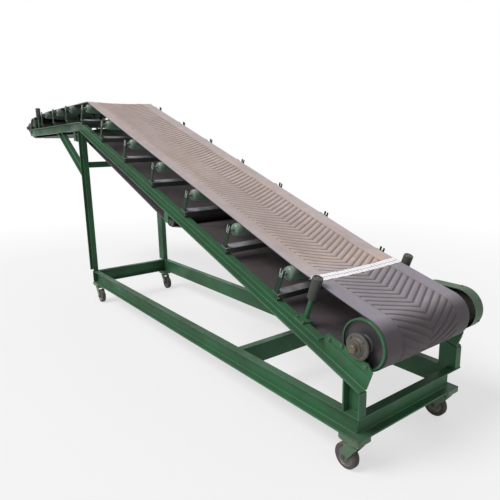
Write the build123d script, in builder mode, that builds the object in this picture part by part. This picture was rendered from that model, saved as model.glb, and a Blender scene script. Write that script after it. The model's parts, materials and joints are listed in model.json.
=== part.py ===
# Mobile belt conveyor: a steel base on four castors, an inclined and a level length of belt in a
# shallow trough on channel stringers, and a chain drive at the low end. Millimetres. +X points to
# the low feed end, +Z is up, and the origin is on the floor under the middle of the outer box.
import os
from math import acos, atan2, cos, degrees, hypot, pi, radians, sin, tan

from build123d import *

os.makedirs("parts", exist_ok=True)

# Belt
belt_width = 650.0
belt_thickness = 10.0
trough_angle = 3.0
belt_edge_rise = 190.0
contact_gap = 0.3

# Base frame of rolled channel, open side outwards
base_length = 3454.0
frame_side_room = 87.5
floor_gap = 195.0
rail_height = 120.0
rail_flange = 48.0
rail_web = 5.5
rail_thickness = 8.0
rail_root = 7.0
cross_rail_inset = 941.0

# Posts, cut to the underside of the stringers
post_depth = 100.0
post_overhang = 70.0
post_web = 5.3
post_thickness = 8.0
post_tie_drop = 375.0
post_tie_leg = 56.0
tie_thickness = 6.0

# Stringers: an incline up to the knee, then a level discharge length
incline = 19.8
knee_past_base = 13.0
feed_height = 514.6
feed_past_base = 20.0
stringer_height = 80.0
stringer_flange = 43.0
stringer_web = 5.0
stringer_thickness = 8.0
stringer_root = 6.0
stringer_past_tail = 111.0
flange_cut_length = 296.0
head_past_stringer = 140.0
splice_length = 210.0
splice_thickness = 6.0
splice_inset = 2.0

# Braces from the high posts to the discharge length
brace_foot_drop = 460.0
brace_head_reach = 613.0

# Drums and rollers
drum_radius = 120.0
drum_overhang = 15.0
drum_wall = 8.0
drum_disc_inset = 14.0
drum_shaft_radius = 22.0
shaft_pin_radius = 20.0
shaft_pin_length = 20.0
shaft_guard_room = 10.0
tail_inset = 52.0
tail_rise = 89.8
head_reach = 2050.0
head_rise = 26.0
roller_radius = 38.0
centre_roller_over = 7.3
wing_roller_over = 29.3
roller_end_room = 4.0
bar_width = 14.0
bar_height = 18.0
bar_seat = 6.0
bend_radius = 60.0
bend_from_knee = 1620.0
bend_drop = 170.8
return_roller_overhang = 25.0
return_shaft_radius = 8.0
knee_return_reach = 300.0
knee_return_drop = 142.0
low_return_from_knee = 2040.0
low_return_drop = 89.6
return_plate_width = 60.0
return_plate_thickness = 6.0

# Idler sets
incline_first = 58.0
incline_pitch = 500.0
incline_last_room = 450.0
level_first = 400.0
level_pitch = 470.0
level_last_room = 600.0
idler_angle_height = 36.0
idler_angle_width = 50.0
idler_angle_thickness = 4.0
idler_angle_inset = 4.0
bracket_width = 34.0
bracket_thickness = 5.0
bracket_reach = 40.0
bracket_up = 32.0
inner_bracket_thickness = 14.0
inner_bracket_up = 24.0

# Bearings on the drum shafts, and the plates that carry them
bearing_radius = 62.0
bearing_flange = 12.0
bearing_hub_radius = 33.0
bearing_hub_length = 16.0
bearing_plate_thickness = 8.0
bearing_lobe_radius = 50.0
tail_plate_length = 303.0
tail_plate_rise = 47.0
tail_plate_shoulder = 30.0
tail_plate_lead = 15.0
tail_plate_corner = 37.0
tail_plate_toe = 24.0
head_plate_length = 190.0

# Vertical guide rollers at the belt's edges
guide_radius = 27.0
guide_length = 120.0
guide_foot = 124.0
guide_stem_radius = 13.0
guide_from_tail = 338.0
guide_from_head = 390.0
guide_gap = 5.0
guide_plate_length = 70.0
guide_plate_thickness = 6.0

# Chain drive on the far side of the low end
guard_radius = 115.0
guard_small_radius = 92.0
guard_depth = 75.0
guard_wall = 3.0
guard_corner_back = 150.0
motor_from_tail = 325.0
motor_rise = 165.0
motor_radius = 90.0
motor_length = 290.0
motor_plate_thickness = 10.0
motor_plate_width = 230.0
motor_shaft_radius = 17.0
sprocket_thickness = 12.0
sprocket_radius = 82.0
sprocket_small_radius = 46.0
chain_width = 20.0
chain_height = 14.0

# Castors
wheel_radius = 65.0
wheel_width = 38.0
wheel_bore_radius = 10.0
hub_radius = 20.0
hub_gap = 2.5
axle_gap = 0.05
castor_trail = 42.0
castor_low_inset = 60.0
castor_high_inset = 36.0
castor_side_inset = 45.5
pad_thickness = 24.0
pad_length = 120.0
pad_width = 90.0
castor_plate_length = 110.0
castor_plate_width = 86.0
castor_plate_thickness = 6.0
swivel_gap = 0.3
swivel_radius = 34.0
swivel_height = 16.0
fork_wall = 4.0
fork_side_gap = 5.5
fork_crown = 5.0
fork_crown_width = 76.0
fork_lug_radius = 17.0
kingpin_radius = 8.0

# Derived places on the base
half_length = base_length / 2
half_width = belt_width / 2 + frame_side_room
rail_middle = floor_gap + rail_height / 2
rail_top = floor_gap + rail_height
rail_back = half_width - rail_flange
web_back = half_width - stringer_flange
web_face = web_back + stringer_web
on_edge = 0.01
sides = ((-1, "near"), (1, "far"))

# Derived places on the stringers' top line
slope = radians(incline)
trough = radians(trough_angle)
knee_half = radians(incline / 2)
knee_x = -half_length - knee_past_base
knee_z = feed_height + (half_length + feed_past_base - knee_x) * tan(slope)
knee = Vector(knee_x, 0, knee_z)
across = Vector(0, 1, 0)
down_slope = Vector(cos(slope), 0, -sin(slope))
slope_normal = Vector(sin(slope), 0, cos(slope))
level_out = Vector(-1, 0, 0)
level_normal = Vector(0, 0, 1)
knee_plane = Plane(origin=knee, z_dir=(cos(knee_half), 0, -sin(knee_half)))
tail_s = (half_length - tail_inset - knee_x - tail_rise * sin(slope)) / cos(slope)
low_s = tail_s + stringer_past_tail
nodes = []


def keep(part, label):
    """Label a finished solid and put it on the list of nodes."""
    part.label = label
    nodes.append(part)


def on_incline(s, y, rise):
    """Point on the incline, s down the slope from the knee and rise above the stringer's top."""
    return knee + down_slope * s + slope_normal * rise + across * y


def on_level(t, y, rise):
    """Point on the discharge length, t outwards from the knee."""
    return knee + level_out * t + level_normal * rise + across * y


def top_line(x):
    """Height of the incline's top line at x."""
    return knee_z - (x - knee_x) * tan(slope)


def channel_face(height, flange, web, thickness, root):
    """Rolled channel section: web back on the local Y axis, flanges towards local +X."""
    with BuildSketch(mode=Mode.PRIVATE) as face:
        with BuildLine():
            Polyline(
                (0, -height / 2), (flange, -height / 2), (flange, -height / 2 + thickness),
                (web, -height / 2 + thickness), (web, height / 2 - thickness),
                (flange, height / 2 - thickness), (flange, height / 2), (0, height / 2), close=True)
        make_face()
        corners = face.vertices().filter_by(lambda v: abs(v.X - web) < on_edge)
        fillet(corners, radius=root)
        toes = face.vertices().filter_by(
            lambda v: abs(v.X - flange) < on_edge and abs(v.Y) < (height - thickness) / 2)
        fillet(toes, radius=root / 2)
    return face.sketch


rail_size = (rail_height, rail_flange, rail_web, rail_thickness, rail_root)
post_size = (post_depth, rail_flange, post_web, post_thickness, rail_root)
stringer_size = (stringer_height, stringer_flange, stringer_web, stringer_thickness, stringer_root)


def channel_bar(size, start, end, opening):
    """Channel between two points on the back of its web, its flanges pointing along opening."""
    run = end - start
    with BuildPart(mode=Mode.PRIVATE) as bar:
        with BuildSketch(Plane(origin=start, x_dir=opening, z_dir=run.normalized())):
            add(channel_face(*size))
        extrude(amount=run.length)
    return bar.part


# Base frame: side rails mitred to the low end rail, high end rail behind a closing web
corner_x = half_length - rail_flange
for side, name in sides:
    back = side * rail_back
    start = Vector(-half_length + rail_web, back, rail_middle)
    end = Vector(half_length, back, rail_middle)
    with BuildPart() as side_rail:
        add(channel_bar(rail_size, start, end, across * side))
        mitre = Plane(origin=(corner_x, back, 0), z_dir=(1, -side, 0))
        split(bisect_by=mitre, keep=Keep.BOTTOM)
    keep(side_rail.part, "side_rail_" + name)

with BuildPart() as end_rail_low:
    low_start = Vector(corner_x, -half_width, rail_middle)
    low_end = Vector(corner_x, half_width, rail_middle)
    add(channel_bar(rail_size, low_start, low_end, Vector(1, 0, 0)))
    split(bisect_by=Plane(origin=(corner_x, -rail_back, 0), z_dir=(1, 1, 0)), keep=Keep.TOP)
    split(bisect_by=Plane(origin=(corner_x, rail_back, 0), z_dir=(1, -1, 0)), keep=Keep.TOP)
keep(end_rail_low.part, "end_rail_low")

with BuildPart() as end_rail_high:
    high_start = Vector(-half_length, -rail_back, rail_middle)
    high_end = Vector(-half_length, rail_back, rail_middle)
    add(channel_bar(rail_size, high_start, high_end, Vector(1, 0, 0)))
    with Locations((-half_length, 0, rail_middle)):
        Box(rail_web, 2 * half_width, rail_height, align=(Align.MIN, Align.CENTER, Align.CENTER))
keep(end_rail_high.part, "end_rail_high")

with BuildPart() as cross_rail:
    cross_start = Vector(half_length - cross_rail_inset, -rail_back, rail_middle)
    cross_end = Vector(half_length - cross_rail_inset, rail_back, rail_middle)
    add(channel_bar(rail_size, cross_start, cross_end, Vector(-1, 0, 0)))
keep(cross_rail.part, "cross_rail")


# Posts on the rails
low_post_x = half_length - post_depth / 2
high_post_x = -half_length - post_overhang + post_depth / 2
level_underside = Plane.XY.offset(knee_z - stringer_height)
slope_underside = Plane(origin=on_incline(0, 0, -stringer_height), z_dir=slope_normal)
for end, post_x in (("low", low_post_x), ("high", high_post_x)):
    for side, name in sides:
        start = Vector(post_x, side * rail_back, rail_top)
        with BuildPart() as post:
            add(channel_bar(post_size, start, start + level_normal * (knee_z - rail_top), across * side))
            split(bisect_by=level_underside, keep=Keep.BOTTOM)
            split(bisect_by=slope_underside, keep=Keep.BOTTOM)
        keep(post.part, "post_" + end + "_" + name)

# Tie between the high posts, an angle with its foot turned down
with BuildPart() as post_tie:
    with BuildSketch(Plane.XZ.offset(-rail_back)):
        with Locations((high_post_x, knee_z - post_tie_drop)):
            Rectangle(post_tie_leg, post_tie_leg, align=(Align.MIN, Align.MAX))
            with Locations((tie_thickness, -tie_thickness)):
                Rectangle(post_tie_leg, post_tie_leg, align=(Align.MIN, Align.MAX), mode=Mode.SUBTRACT)
    extrude(amount=2 * rail_back)
keep(post_tie.part, "post_tie")

# Stringers, mitred at the knee, with a splice plate on the top flange; the top flange is cut away
# at the tail drum's bearing
for side, name in sides:
    opening = across * side
    with BuildPart() as sloping:
        low = on_incline(low_s, side * web_back, -stringer_height / 2)
        top = on_incline(-stringer_height, side * web_back, -stringer_height / 2)
        add(channel_bar(stringer_size, top, low, opening))
        split(bisect_by=knee_plane, keep=Keep.TOP)
        with BuildSketch(Plane(origin=on_incline(low_s, 0, 0), x_dir=-opening, z_dir=slope_normal)):
            with Locations((-half_width, 0)):
                Rectangle(half_width - web_face, 2 * flange_cut_length, align=(Align.MIN, Align.CENTER))
        extrude(amount=-stringer_thickness - stringer_root, mode=Mode.SUBTRACT)
    with BuildPart() as stringer:
        inner = on_level(-stringer_height, side * web_back, -stringer_height / 2)
        outer = on_level(head_reach - head_past_stringer, side * web_back, -stringer_height / 2)
        add(channel_bar(stringer_size, inner, outer, opening))
        split(bisect_by=knee_plane, keep=Keep.BOTTOM)
        add(sloping.part)
        plate = Plane(origin=on_incline(0, side * web_back, 0), x_dir=down_slope, z_dir=slope_normal)
        with BuildSketch(plate):
            with Locations((incline_first + idler_angle_width, side * stringer_flange / 2)):
                Rectangle(splice_length, stringer_flange - 2 * splice_inset, align=(Align.MIN, Align.CENTER))
        extrude(amount=splice_thickness)
    keep(stringer.part, "stringer_" + name)

# Braces from the high posts up to the discharge length
post_left = high_post_x - post_depth / 2
brace_start = Vector(post_left, 0, knee_z - brace_foot_drop)
brace_end = Vector(post_left - brace_head_reach, 0, knee_z - stringer_height)
brace_run = (brace_end - brace_start).normalized()
for side, name in sides:
    back = across * side * web_back
    with BuildPart() as brace:
        low = brace_start + back - brace_run * stringer_height
        high = brace_end + back + brace_run * 2 * stringer_height
        add(channel_bar(stringer_size, low, high, across * side))
        split(bisect_by=Plane(origin=(post_left, 0, 0), z_dir=(1, 0, 0)), keep=Keep.BOTTOM)
        split(bisect_by=level_underside, keep=Keep.BOTTOM)
    keep(brace.part, "brace_" + name)

# Idler sets: a plane for each, X across the belt, Y off the stringer, Z down the slope
belt_centre = belt_width / 6
belt_wing = belt_width / 3
trough_depth = belt_wing * sin(trough)
belt_under = belt_edge_rise - trough_depth - belt_thickness
roller_drop = roller_radius + contact_gap
roller_axis = belt_under - roller_drop
incline_count = int((tail_s - incline_last_room - incline_first) / incline_pitch) + 1
level_count = int((head_reach - level_last_room - level_first) / level_pitch) + 1
incline_planes = [
    Plane(origin=on_incline(incline_first + incline_pitch * i, 0, 0), x_dir=across, z_dir=down_slope)
    for i in range(incline_count)]
level_planes = [
    Plane(origin=on_level(level_first + level_pitch * i, 0, 0), x_dir=across, z_dir=-level_out)
    for i in range(level_count)]
idler_planes = incline_planes + level_planes

# Places of the rollers' ends and the brackets, measured across the belt and along a wing roller
centre_length = belt_width / 3 + centre_roller_over
inner_y = centre_length / 2 + roller_end_room
inner_bar = roller_end_room + bar_seat
wing_foot_y = belt_centre + roller_drop * sin(trough)
wing_foot_rise = belt_under - roller_drop * cos(trough)
wing_start = (inner_y + inner_bracket_thickness + roller_end_room - wing_foot_y) / cos(trough)
wing_end = belt_wing + wing_roller_over
outer_at = wing_end + bracket_reach
outer_y = wing_foot_y + outer_at * cos(trough)
outer_rise = wing_foot_rise + outer_at * sin(trough)
outer_down = (outer_rise - idler_angle_height) / cos(trough)
outer_bar = bracket_reach + bracket_thickness + bar_seat
slot_width = bar_width + 2 * contact_gap
slot_floor = -bar_height / 2 - contact_gap


def idler_angle(plane):
    """Cross angle on the stringers, its upright leg on the low side."""
    with BuildPart(mode=Mode.PRIVATE) as angle:
        with BuildSketch(Plane(origin=plane.origin, x_dir=plane.z_dir, z_dir=-plane.x_dir)):
            with Locations((-idler_angle_width / 2, idler_angle_height - idler_angle_thickness)):
                Rectangle(idler_angle_width, idler_angle_thickness, align=(Align.MIN, Align.MIN))
            with Locations((idler_angle_width / 2 - idler_angle_thickness, 0)):
                Rectangle(idler_angle_thickness, idler_angle_height, align=(Align.MIN, Align.MIN))
        extrude(amount=half_width - idler_angle_inset, both=True)
    return angle.part


def slotted_plate(thickness, down, up, end):
    """Upright plate with a slot open at the top, its origin on the axis of the bar in the slot."""
    with BuildPart(mode=Mode.PRIVATE) as slotted:
        with Locations((0, up, 0)):
            Box(thickness, up + down, bracket_width, align=(end, Align.MAX, Align.CENTER))
        with Locations((0, slot_floor, 0)):
            Box(thickness, up - slot_floor, slot_width, align=(end, Align.MIN, Align.CENTER),
                mode=Mode.SUBTRACT)
    return slotted.part


def idler_brackets(plane):
    """Two leaning outer brackets and two upright inner brackets that hold the rollers' bars."""
    place = plane.location
    with BuildPart(mode=Mode.PRIVATE) as brackets:
        for side, name in sides:
            end = Align.MIN if side > 0 else Align.MAX
            outer = slotted_plate(bracket_thickness, outer_down + idler_angle_height, bracket_up, end)
            tilted = Location((side * outer_y, outer_rise, 0), (0, 0, side * trough_angle))
            add(outer.moved(place * tilted))
            inner = slotted_plate(inner_bracket_thickness, roller_axis, inner_bracket_up, end)
            add(inner.moved(place * Location((side * inner_y, roller_axis, 0))))
        with Locations(place):
            Box(2 * half_width, 2 * idler_angle_height, 2 * bracket_width, mode=Mode.SUBTRACT)
    return brackets.part


def idler_roller(start, axis, upright, length, bars):
    """Roller along axis from start, on a flat bar that stands out by the two lengths in bars."""
    with BuildPart(mode=Mode.PRIVATE) as roller:
        with BuildSketch(Plane(origin=start, x_dir=upright, z_dir=axis)):
            Circle(roller_radius)
        extrude(amount=length)
        with BuildSketch(Plane(origin=start - axis * bars[0], x_dir=upright, z_dir=axis)):
            Rectangle(bar_height, bar_width)
        extrude(amount=bars[0] + length + bars[1])
    return roller.part


def spindle(start, axis, steps):
    """Cylinders end to end along axis, from a table of (radius, length)."""
    with BuildPart(mode=Mode.PRIVATE) as turned:
        reach = 0.0
        for radius, length in steps:
            with BuildSketch(Plane(origin=start + axis * reach, z_dir=axis)):
                Circle(radius)
            extrude(amount=length)
            reach += length
    return turned.part


# Idler frames and their rollers
for shape, label in ((idler_angle, "idler_angles"), (idler_brackets, "idler_brackets")):
    with BuildPart() as idler_set:
        for plane in idler_planes:
            add(shape(plane))
    keep(idler_set.part, label)

with BuildPart() as centre_rollers:
    for plane in idler_planes:
        start = plane.origin + plane.y_dir * roller_axis - across * (centre_length / 2)
        add(idler_roller(start, across, plane.y_dir, centre_length, (inner_bar, inner_bar)))
keep(centre_rollers.part, "centre_rollers")

for side, name in sides:
    with BuildPart() as wing_rollers:
        for plane in idler_planes:
            axis = across * side * cos(trough) + plane.y_dir * sin(trough)
            upright = plane.y_dir * cos(trough) - across * side * sin(trough)
            foot = plane.origin + across * side * wing_foot_y + plane.y_dir * wing_foot_rise
            add(idler_roller(foot + axis * wing_start, axis, upright, wing_end - wing_start,
                             (inner_bar, outer_bar)))
    keep(wing_rollers.part, "wing_rollers_" + name)


def belt_section(half_flat, half_edge, low, high, thickness):
    """Corners of the belt's section: under side from left to right, then the top back again."""
    under = [(-half_edge, high), (-half_flat, low), (half_flat, low), (half_edge, high)]
    top = [(x, rise + thickness) for x, rise in reversed(under)]
    return under + top


wing_chord = belt_centre + belt_wing * cos(trough)
trough_corners = belt_section(belt_centre, wing_chord, belt_under, belt_under + trough_depth, belt_thickness)
flat_rise = drum_radius + contact_gap
flat_corners = belt_section(belt_centre, belt_width / 2, flat_rise, flat_rise, belt_thickness)
last_incline_s = incline_first + incline_pitch * (incline_count - 1)
last_level_t = level_first + level_pitch * (level_count - 1)
tail = on_incline(tail_s, 0, tail_rise)
head = on_level(head_reach, 0, head_rise)


def leaving_angle(centre, trough_end, turn):
    """Angle on a drum at which a flat belt leaves for the bottom of the trough."""
    run = trough_end - centre
    return atan2(run.Z, run.X) + turn * acos(flat_rise / run.length)


tail_leaves = leaving_angle(tail, on_incline(last_incline_s, 0, belt_under), -1)
head_leaves = leaving_angle(head, on_level(last_level_t, 0, belt_under), 1)
incline_end = Plane(origin=on_incline(last_incline_s, 0, 0), x_dir=across, z_dir=down_slope)
level_end = Plane(origin=on_level(last_level_t, 0, 0), x_dir=across, z_dir=-level_out)
on_tail = Plane(origin=tail, x_dir=across, z_dir=(sin(tail_leaves), 0, -cos(tail_leaves)))
on_head = Plane(origin=head, x_dir=across, z_dir=(sin(head_leaves), 0, -cos(head_leaves)))


def tangent_run(first, second):
    """Points where a belt leaves one pulley and meets the next; a radius is negative when the
    pulley lies on the belt's right hand."""
    x1, z1, r1 = first
    x2, z2, r2 = second
    reach = hypot(x2 - x1, z2 - z1)
    facing = atan2(z2 - z1, x2 - x1)
    right = facing - acos((r1 - r2) / reach)
    return ((x1 + r1 * cos(right), z1 + r1 * sin(right)),
            (x2 + r2 * cos(right), z2 + r2 * sin(right)), right)


knee_return_x = knee_x - knee_return_reach
knee_return_z = knee_z - knee_return_drop
bend_x = knee_x + bend_from_knee
bend_z = top_line(bend_x) - bend_drop
low_return_x = knee_x + low_return_from_knee
low_return_z = top_line(low_return_x) - low_return_drop
belt_middle = contact_gap + belt_thickness / 2
pulleys = [
    (head.X, head.Z, drum_radius + belt_middle),
    (knee_return_x, knee_return_z, -roller_radius - belt_middle),
    (bend_x, bend_z, bend_radius + belt_middle),
    (low_return_x, low_return_z, -roller_radius - belt_middle),
    (tail.X, tail.Z, drum_radius + belt_middle),
]
runs = [tangent_run(a, b) for a, b in zip(pulleys, pulleys[1:])]

# Belt: one closed loop, troughed over the idler sets up to the mitre at the knee, and flat where
# it leaves the drums and on its way back
with BuildPart() as belt_incline:
    with BuildSketch(incline_end):
        with BuildLine():
            Polyline(*trough_corners, close=True)
        make_face()
    extrude(amount=-last_incline_s - belt_edge_rise)
    split(bisect_by=knee_plane, keep=Keep.TOP)
with BuildPart() as belt:
    with BuildSketch(level_end):
        with BuildLine():
            Polyline(*trough_corners, close=True)
        make_face()
    extrude(amount=last_level_t + belt_edge_rise)
    split(bisect_by=knee_plane, keep=Keep.BOTTOM)
    add(belt_incline.part)
    for sections in (((incline_end, trough_corners), (on_tail, flat_corners)),
                     ((on_head, flat_corners), (level_end, trough_corners))):
        for plane, corners in sections:
            with BuildSketch(plane):
                with BuildLine():
                    Polyline(*corners, close=True)
                make_face()
        loft(ruled=True)
    with BuildSketch(Plane.XZ.offset(-belt_width / 2)):
        with BuildLine():
            angle_in = head_leaves
            for (x, z, radius), run in zip(pulleys, runs + [None]):
                angle_out = run[2] if run else tail_leaves
                if radius < 0:
                    angle_in, angle_out = angle_in + pi, angle_out + pi
                turn = degrees(angle_out - angle_in)
                turn = turn % 360 if radius > 0 else -(-turn % 360)
                CenterArc((x, z), abs(radius), degrees(angle_in), turn)
                if run:
                    Line(run[0], run[1])
                    angle_in = run[2]
        trace(line_width=belt_thickness)
    extrude(amount=belt_width)
keep(belt.part, "belt")

# Drums: recessed end discs and a shaft right through, turned down to a pin at its free ends
drum_half = belt_width / 2 + drum_overhang
disc = drum_half - drum_disc_inset
rim = drum_radius - drum_wall
hub_face = web_back + bearing_flange + bearing_hub_length
pin_end = hub_face + shaft_pin_length
sprocket_end = half_width + guard_depth - guard_wall - shaft_guard_room
free_end = [(pin_end, 0), (pin_end, shaft_pin_radius), (hub_face, shaft_pin_radius), (hub_face, drum_shaft_radius)]
driven_end = [(sprocket_end, 0), (sprocket_end, drum_shaft_radius)]
shell = [(disc, drum_shaft_radius), (disc, rim), (drum_half, rim), (drum_half, drum_radius)]
for centre, far_end, name in ((tail, driven_end, "tail"), (head, free_end, "head")):
    near_side = [(-x, r) for x, r in free_end + shell]
    with BuildPart() as drum:
        with BuildSketch(Plane(origin=centre, x_dir=across, z_dir=(1, 0, 0))):
            with BuildLine():
                Polyline(*far_end, *shell, *reversed(near_side), close=True)
            make_face()
        revolve(axis=Axis(centre, across))
    keep(drum.part, name + "_drum")

# Plates inside the stringers that carry the drum bearings
seat = drum_shaft_radius + contact_gap
low_edge = -stringer_height + stringer_thickness
plate_s = low_s - tail_plate_length
with BuildPart() as tail_plates:
    for side, name in sides:
        shift = across * side * (web_back - bearing_plate_thickness / 2)
        with BuildSketch(Plane(origin=knee + shift, x_dir=down_slope, z_dir=-across)):
            with BuildLine():
                Polyline((plate_s, low_edge), (plate_s, 0), (plate_s + tail_plate_lead, tail_plate_shoulder),
                         (low_s - tail_plate_corner, tail_plate_rise), (low_s, tail_plate_toe),
                         (low_s, low_edge), close=True)
            make_face()
            with Locations((tail_s, 0)):
                Rectangle(2 * bearing_lobe_radius, tail_rise, align=(Align.CENTER, Align.MIN))
            with Locations((tail_s, tail_rise)):
                Circle(bearing_lobe_radius)
                Circle(seat, mode=Mode.SUBTRACT)
        extrude(amount=bearing_plate_thickness / 2, both=True)
keep(tail_plates.part, "tail_plates")

with BuildPart() as head_plates:
    for side, name in sides:
        shift = across * side * (web_back - bearing_plate_thickness / 2)
        with BuildSketch(Plane(origin=knee + shift, x_dir=level_out, z_dir=across)):
            with Locations((head_reach - head_plate_length, low_edge)):
                Rectangle(head_plate_length + bearing_lobe_radius, -low_edge, align=(Align.MIN, Align.MIN))
            with Locations((head_reach, 0)):
                Rectangle(2 * bearing_lobe_radius, head_rise, align=(Align.CENTER, Align.MIN))
            with Locations((head_reach, head_rise)):
                Circle(bearing_lobe_radius)
                Circle(seat, mode=Mode.SUBTRACT)
        extrude(amount=bearing_plate_thickness / 2, both=True)
keep(head_plates.part, "head_plates")

# Round flange bearings on the outer face of the plates
with BuildPart() as drum_bearings:
    for centre in (tail, head):
        for side, name in sides:
            outward = across * side
            with BuildSketch(Plane(origin=centre + outward * web_back, z_dir=outward)):
                Circle(bearing_radius)
                Circle(seat, mode=Mode.SUBTRACT)
            extrude(amount=bearing_flange)
            with BuildSketch(Plane(origin=centre + outward * (web_back + bearing_flange), z_dir=outward)):
                Circle(bearing_hub_radius)
                Circle(seat, mode=Mode.SUBTRACT)
            extrude(amount=bearing_hub_length)
keep(drum_bearings.part, "drum_bearings")

# Return rollers above the belt's way back, and the bend pulley that presses it down
hang = web_back - return_plate_thickness
return_length = belt_width + 2 * return_roller_overhang
bend_length = belt_width + 2 * drum_overhang
for places, radius, length, label in (
        (((knee_return_x, knee_return_z), (low_return_x, low_return_z)), roller_radius,
         return_length, "return_rollers"),
        (((bend_x, bend_z),), bend_radius, bend_length, "bend_pulley")):
    with BuildPart() as rollers:
        for x, z in places:
            ends = (return_shaft_radius, hang - length / 2)
            add(spindle(Vector(x, -hang, z), across, (ends, (radius, length), ends)))
    keep(rollers.part, label)

hangers = (
    (knee_return_x, knee_return_z, knee_z),
    (bend_x, bend_z, top_line(bend_x)),
    (low_return_x, low_return_z, top_line(low_return_x)),
)
with BuildPart() as return_plates:
    for x, z, top in hangers:
        foot = z - return_plate_width / 2
        for side, name in sides:
            with BuildSketch(Plane.XZ.offset(-side * (web_back - return_plate_thickness / 2))):
                with Locations((x, foot)):
                    Rectangle(return_plate_width, top - stringer_height / 2 - foot,
                              align=(Align.CENTER, Align.MIN))
            extrude(amount=return_plate_thickness / 2, both=True)
keep(return_plates.part, "return_plates")

# Guide rollers at the belt's edges, near both ends
guide_y = belt_width / 2 + guide_gap + guide_radius
guide_planes = (
    Plane(origin=on_incline(tail_s - guide_from_tail, 0, 0), x_dir=across, z_dir=slope_normal),
    Plane(origin=on_level(head_reach - guide_from_head, 0, 0), x_dir=across, z_dir=level_normal),
)
with BuildPart() as guide_stems:
    for plane in guide_planes:
        for side, name in sides:
            foot = plane.origin + across * side * guide_y
            plate_reach = half_width - guide_y + guide_stem_radius
            with Locations(plane.location * Location((side * (guide_y - guide_stem_radius), 0, 0))):
                end = Align.MIN if side > 0 else Align.MAX
                Box(plate_reach, guide_plate_length, guide_plate_thickness,
                    align=(end, Align.CENTER, Align.MIN))
            add(spindle(foot, plane.z_dir, ((guide_stem_radius, guide_foot),)))
keep(guide_stems.part, "guide_stems")

with BuildPart() as guide_rollers:
    for plane in guide_planes:
        for side, name in sides:
            foot = plane.origin + across * side * guide_y + plane.z_dir * guide_foot
            add(spindle(foot, plane.z_dir, ((guide_radius, guide_length),)))
keep(guide_rollers.part, "guide_rollers")

# Chain guard on the far side: a band open towards the belt, with a closed outer face
motor_x = tail.X - motor_from_tail
motor_z = rail_top + motor_rise
guard_circles = (
    (tail.X, tail.Z, guard_radius),
    (tail.X - guard_corner_back, tail.Z, guard_radius),
    (motor_x, motor_z, guard_small_radius),
)
sprocket_circles = ((tail.X, tail.Z, sprocket_radius), (motor_x, motor_z, sprocket_small_radius))


def wrapped(circles, grow):
    """Outline pulled tight round circles given as (x, z, radius), each grown by the same amount."""
    with BuildSketch(mode=Mode.PRIVATE) as outline:
        with BuildLine():
            for x, z, radius in circles:
                CenterArc((x, z), radius + grow, 0, 360)
        make_hull()
    return outline.sketch


with BuildPart() as guard:
    with BuildSketch(Plane.XZ.offset(-half_width - guard_depth)):
        add(wrapped(guard_circles, 0))
    extrude(amount=guard_depth)
    with BuildSketch(Plane.XZ.offset(-half_width - guard_depth + guard_wall)):
        add(wrapped(guard_circles, -guard_wall))
    extrude(amount=guard_depth, mode=Mode.SUBTRACT)
keep(guard.part, "chain_guard")

sprocket_y = half_width + guard_depth / 2
with BuildPart() as sprocket:
    with BuildSketch(Plane.XZ.offset(-sprocket_y)):
        with Locations((tail.X, tail.Z)):
            Circle(sprocket_radius)
            Circle(seat, mode=Mode.SUBTRACT)
    extrude(amount=sprocket_thickness / 2, both=True)
keep(sprocket.part, "drum_sprocket")

with BuildPart() as drive_chain:
    with BuildSketch(Plane.XZ.offset(-sprocket_y)):
        add(wrapped(sprocket_circles, contact_gap + chain_height))
        add(wrapped(sprocket_circles, contact_gap), mode=Mode.SUBTRACT)
    extrude(amount=chain_width / 2, both=True)
keep(drive_chain.part, "drive_chain")

# Motor under the far stringer, one plain block, on a hanging plate
with BuildPart() as motor:
    with BuildSketch(Plane.XZ.offset(-web_back)):
        with Locations((motor_x, motor_z)):
            Circle(motor_radius)
    extrude(amount=motor_length)
    with BuildSketch(Plane.XZ.offset(-web_back)):
        with Locations((motor_x, motor_z)):
            Circle(motor_shaft_radius)
    extrude(amount=-(sprocket_y + sprocket_thickness / 2 - web_back))
    with BuildSketch(Plane.XZ.offset(-sprocket_y)):
        with Locations((motor_x, motor_z)):
            Circle(sprocket_small_radius)
    extrude(amount=sprocket_thickness / 2, both=True)
keep(motor.part, "motor")

with BuildPart() as motor_plate:
    with BuildSketch(Plane.XZ.offset(-web_back - motor_plate_thickness / 2)):
        with Locations((motor_x, motor_z - motor_radius)):
            Rectangle(motor_plate_width, knee_z - motor_z, align=(Align.CENTER, Align.MIN))
        with Locations((motor_x, motor_z)):
            Circle(motor_shaft_radius + contact_gap, mode=Mode.SUBTRACT)
    extrude(amount=motor_plate_thickness / 2, both=True)
    split(bisect_by=slope_underside, keep=Keep.BOTTOM)
keep(motor_plate.part, "motor_plate")

# Castors: end of the base, castor's x, side of the swivel that its wheel trails to
plate_bottom = floor_gap - pad_thickness - castor_plate_thickness
swivel_top = plate_bottom - swivel_gap
crown_bottom = swivel_top - swivel_height - fork_crown
castor_y = half_width - castor_side_inset
leg_y = wheel_width / 2 + fork_side_gap
fork_room = 2 * (castor_trail + fork_crown_width)
castors = (
    ("low", half_length - castor_low_inset, -1),
    ("high", -half_length + castor_high_inset, 1),
)
with BuildPart() as castor_mounts:
    for end, x, trail in castors:
        for side, name in sides:
            with Locations((x, side * castor_y, floor_gap)):
                Box(pad_length, pad_width, pad_thickness, align=(Align.CENTER, Align.CENTER, Align.MAX))
            with Locations((x, side * castor_y, plate_bottom)):
                Box(castor_plate_length, castor_plate_width, castor_plate_thickness,
                    align=(Align.CENTER, Align.CENTER, Align.MIN))
                Cylinder(kingpin_radius + axle_gap, castor_plate_thickness,
                         align=(Align.CENTER, Align.CENTER, Align.MIN), mode=Mode.SUBTRACT)
keep(castor_mounts.part, "castor_mounts")

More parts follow.
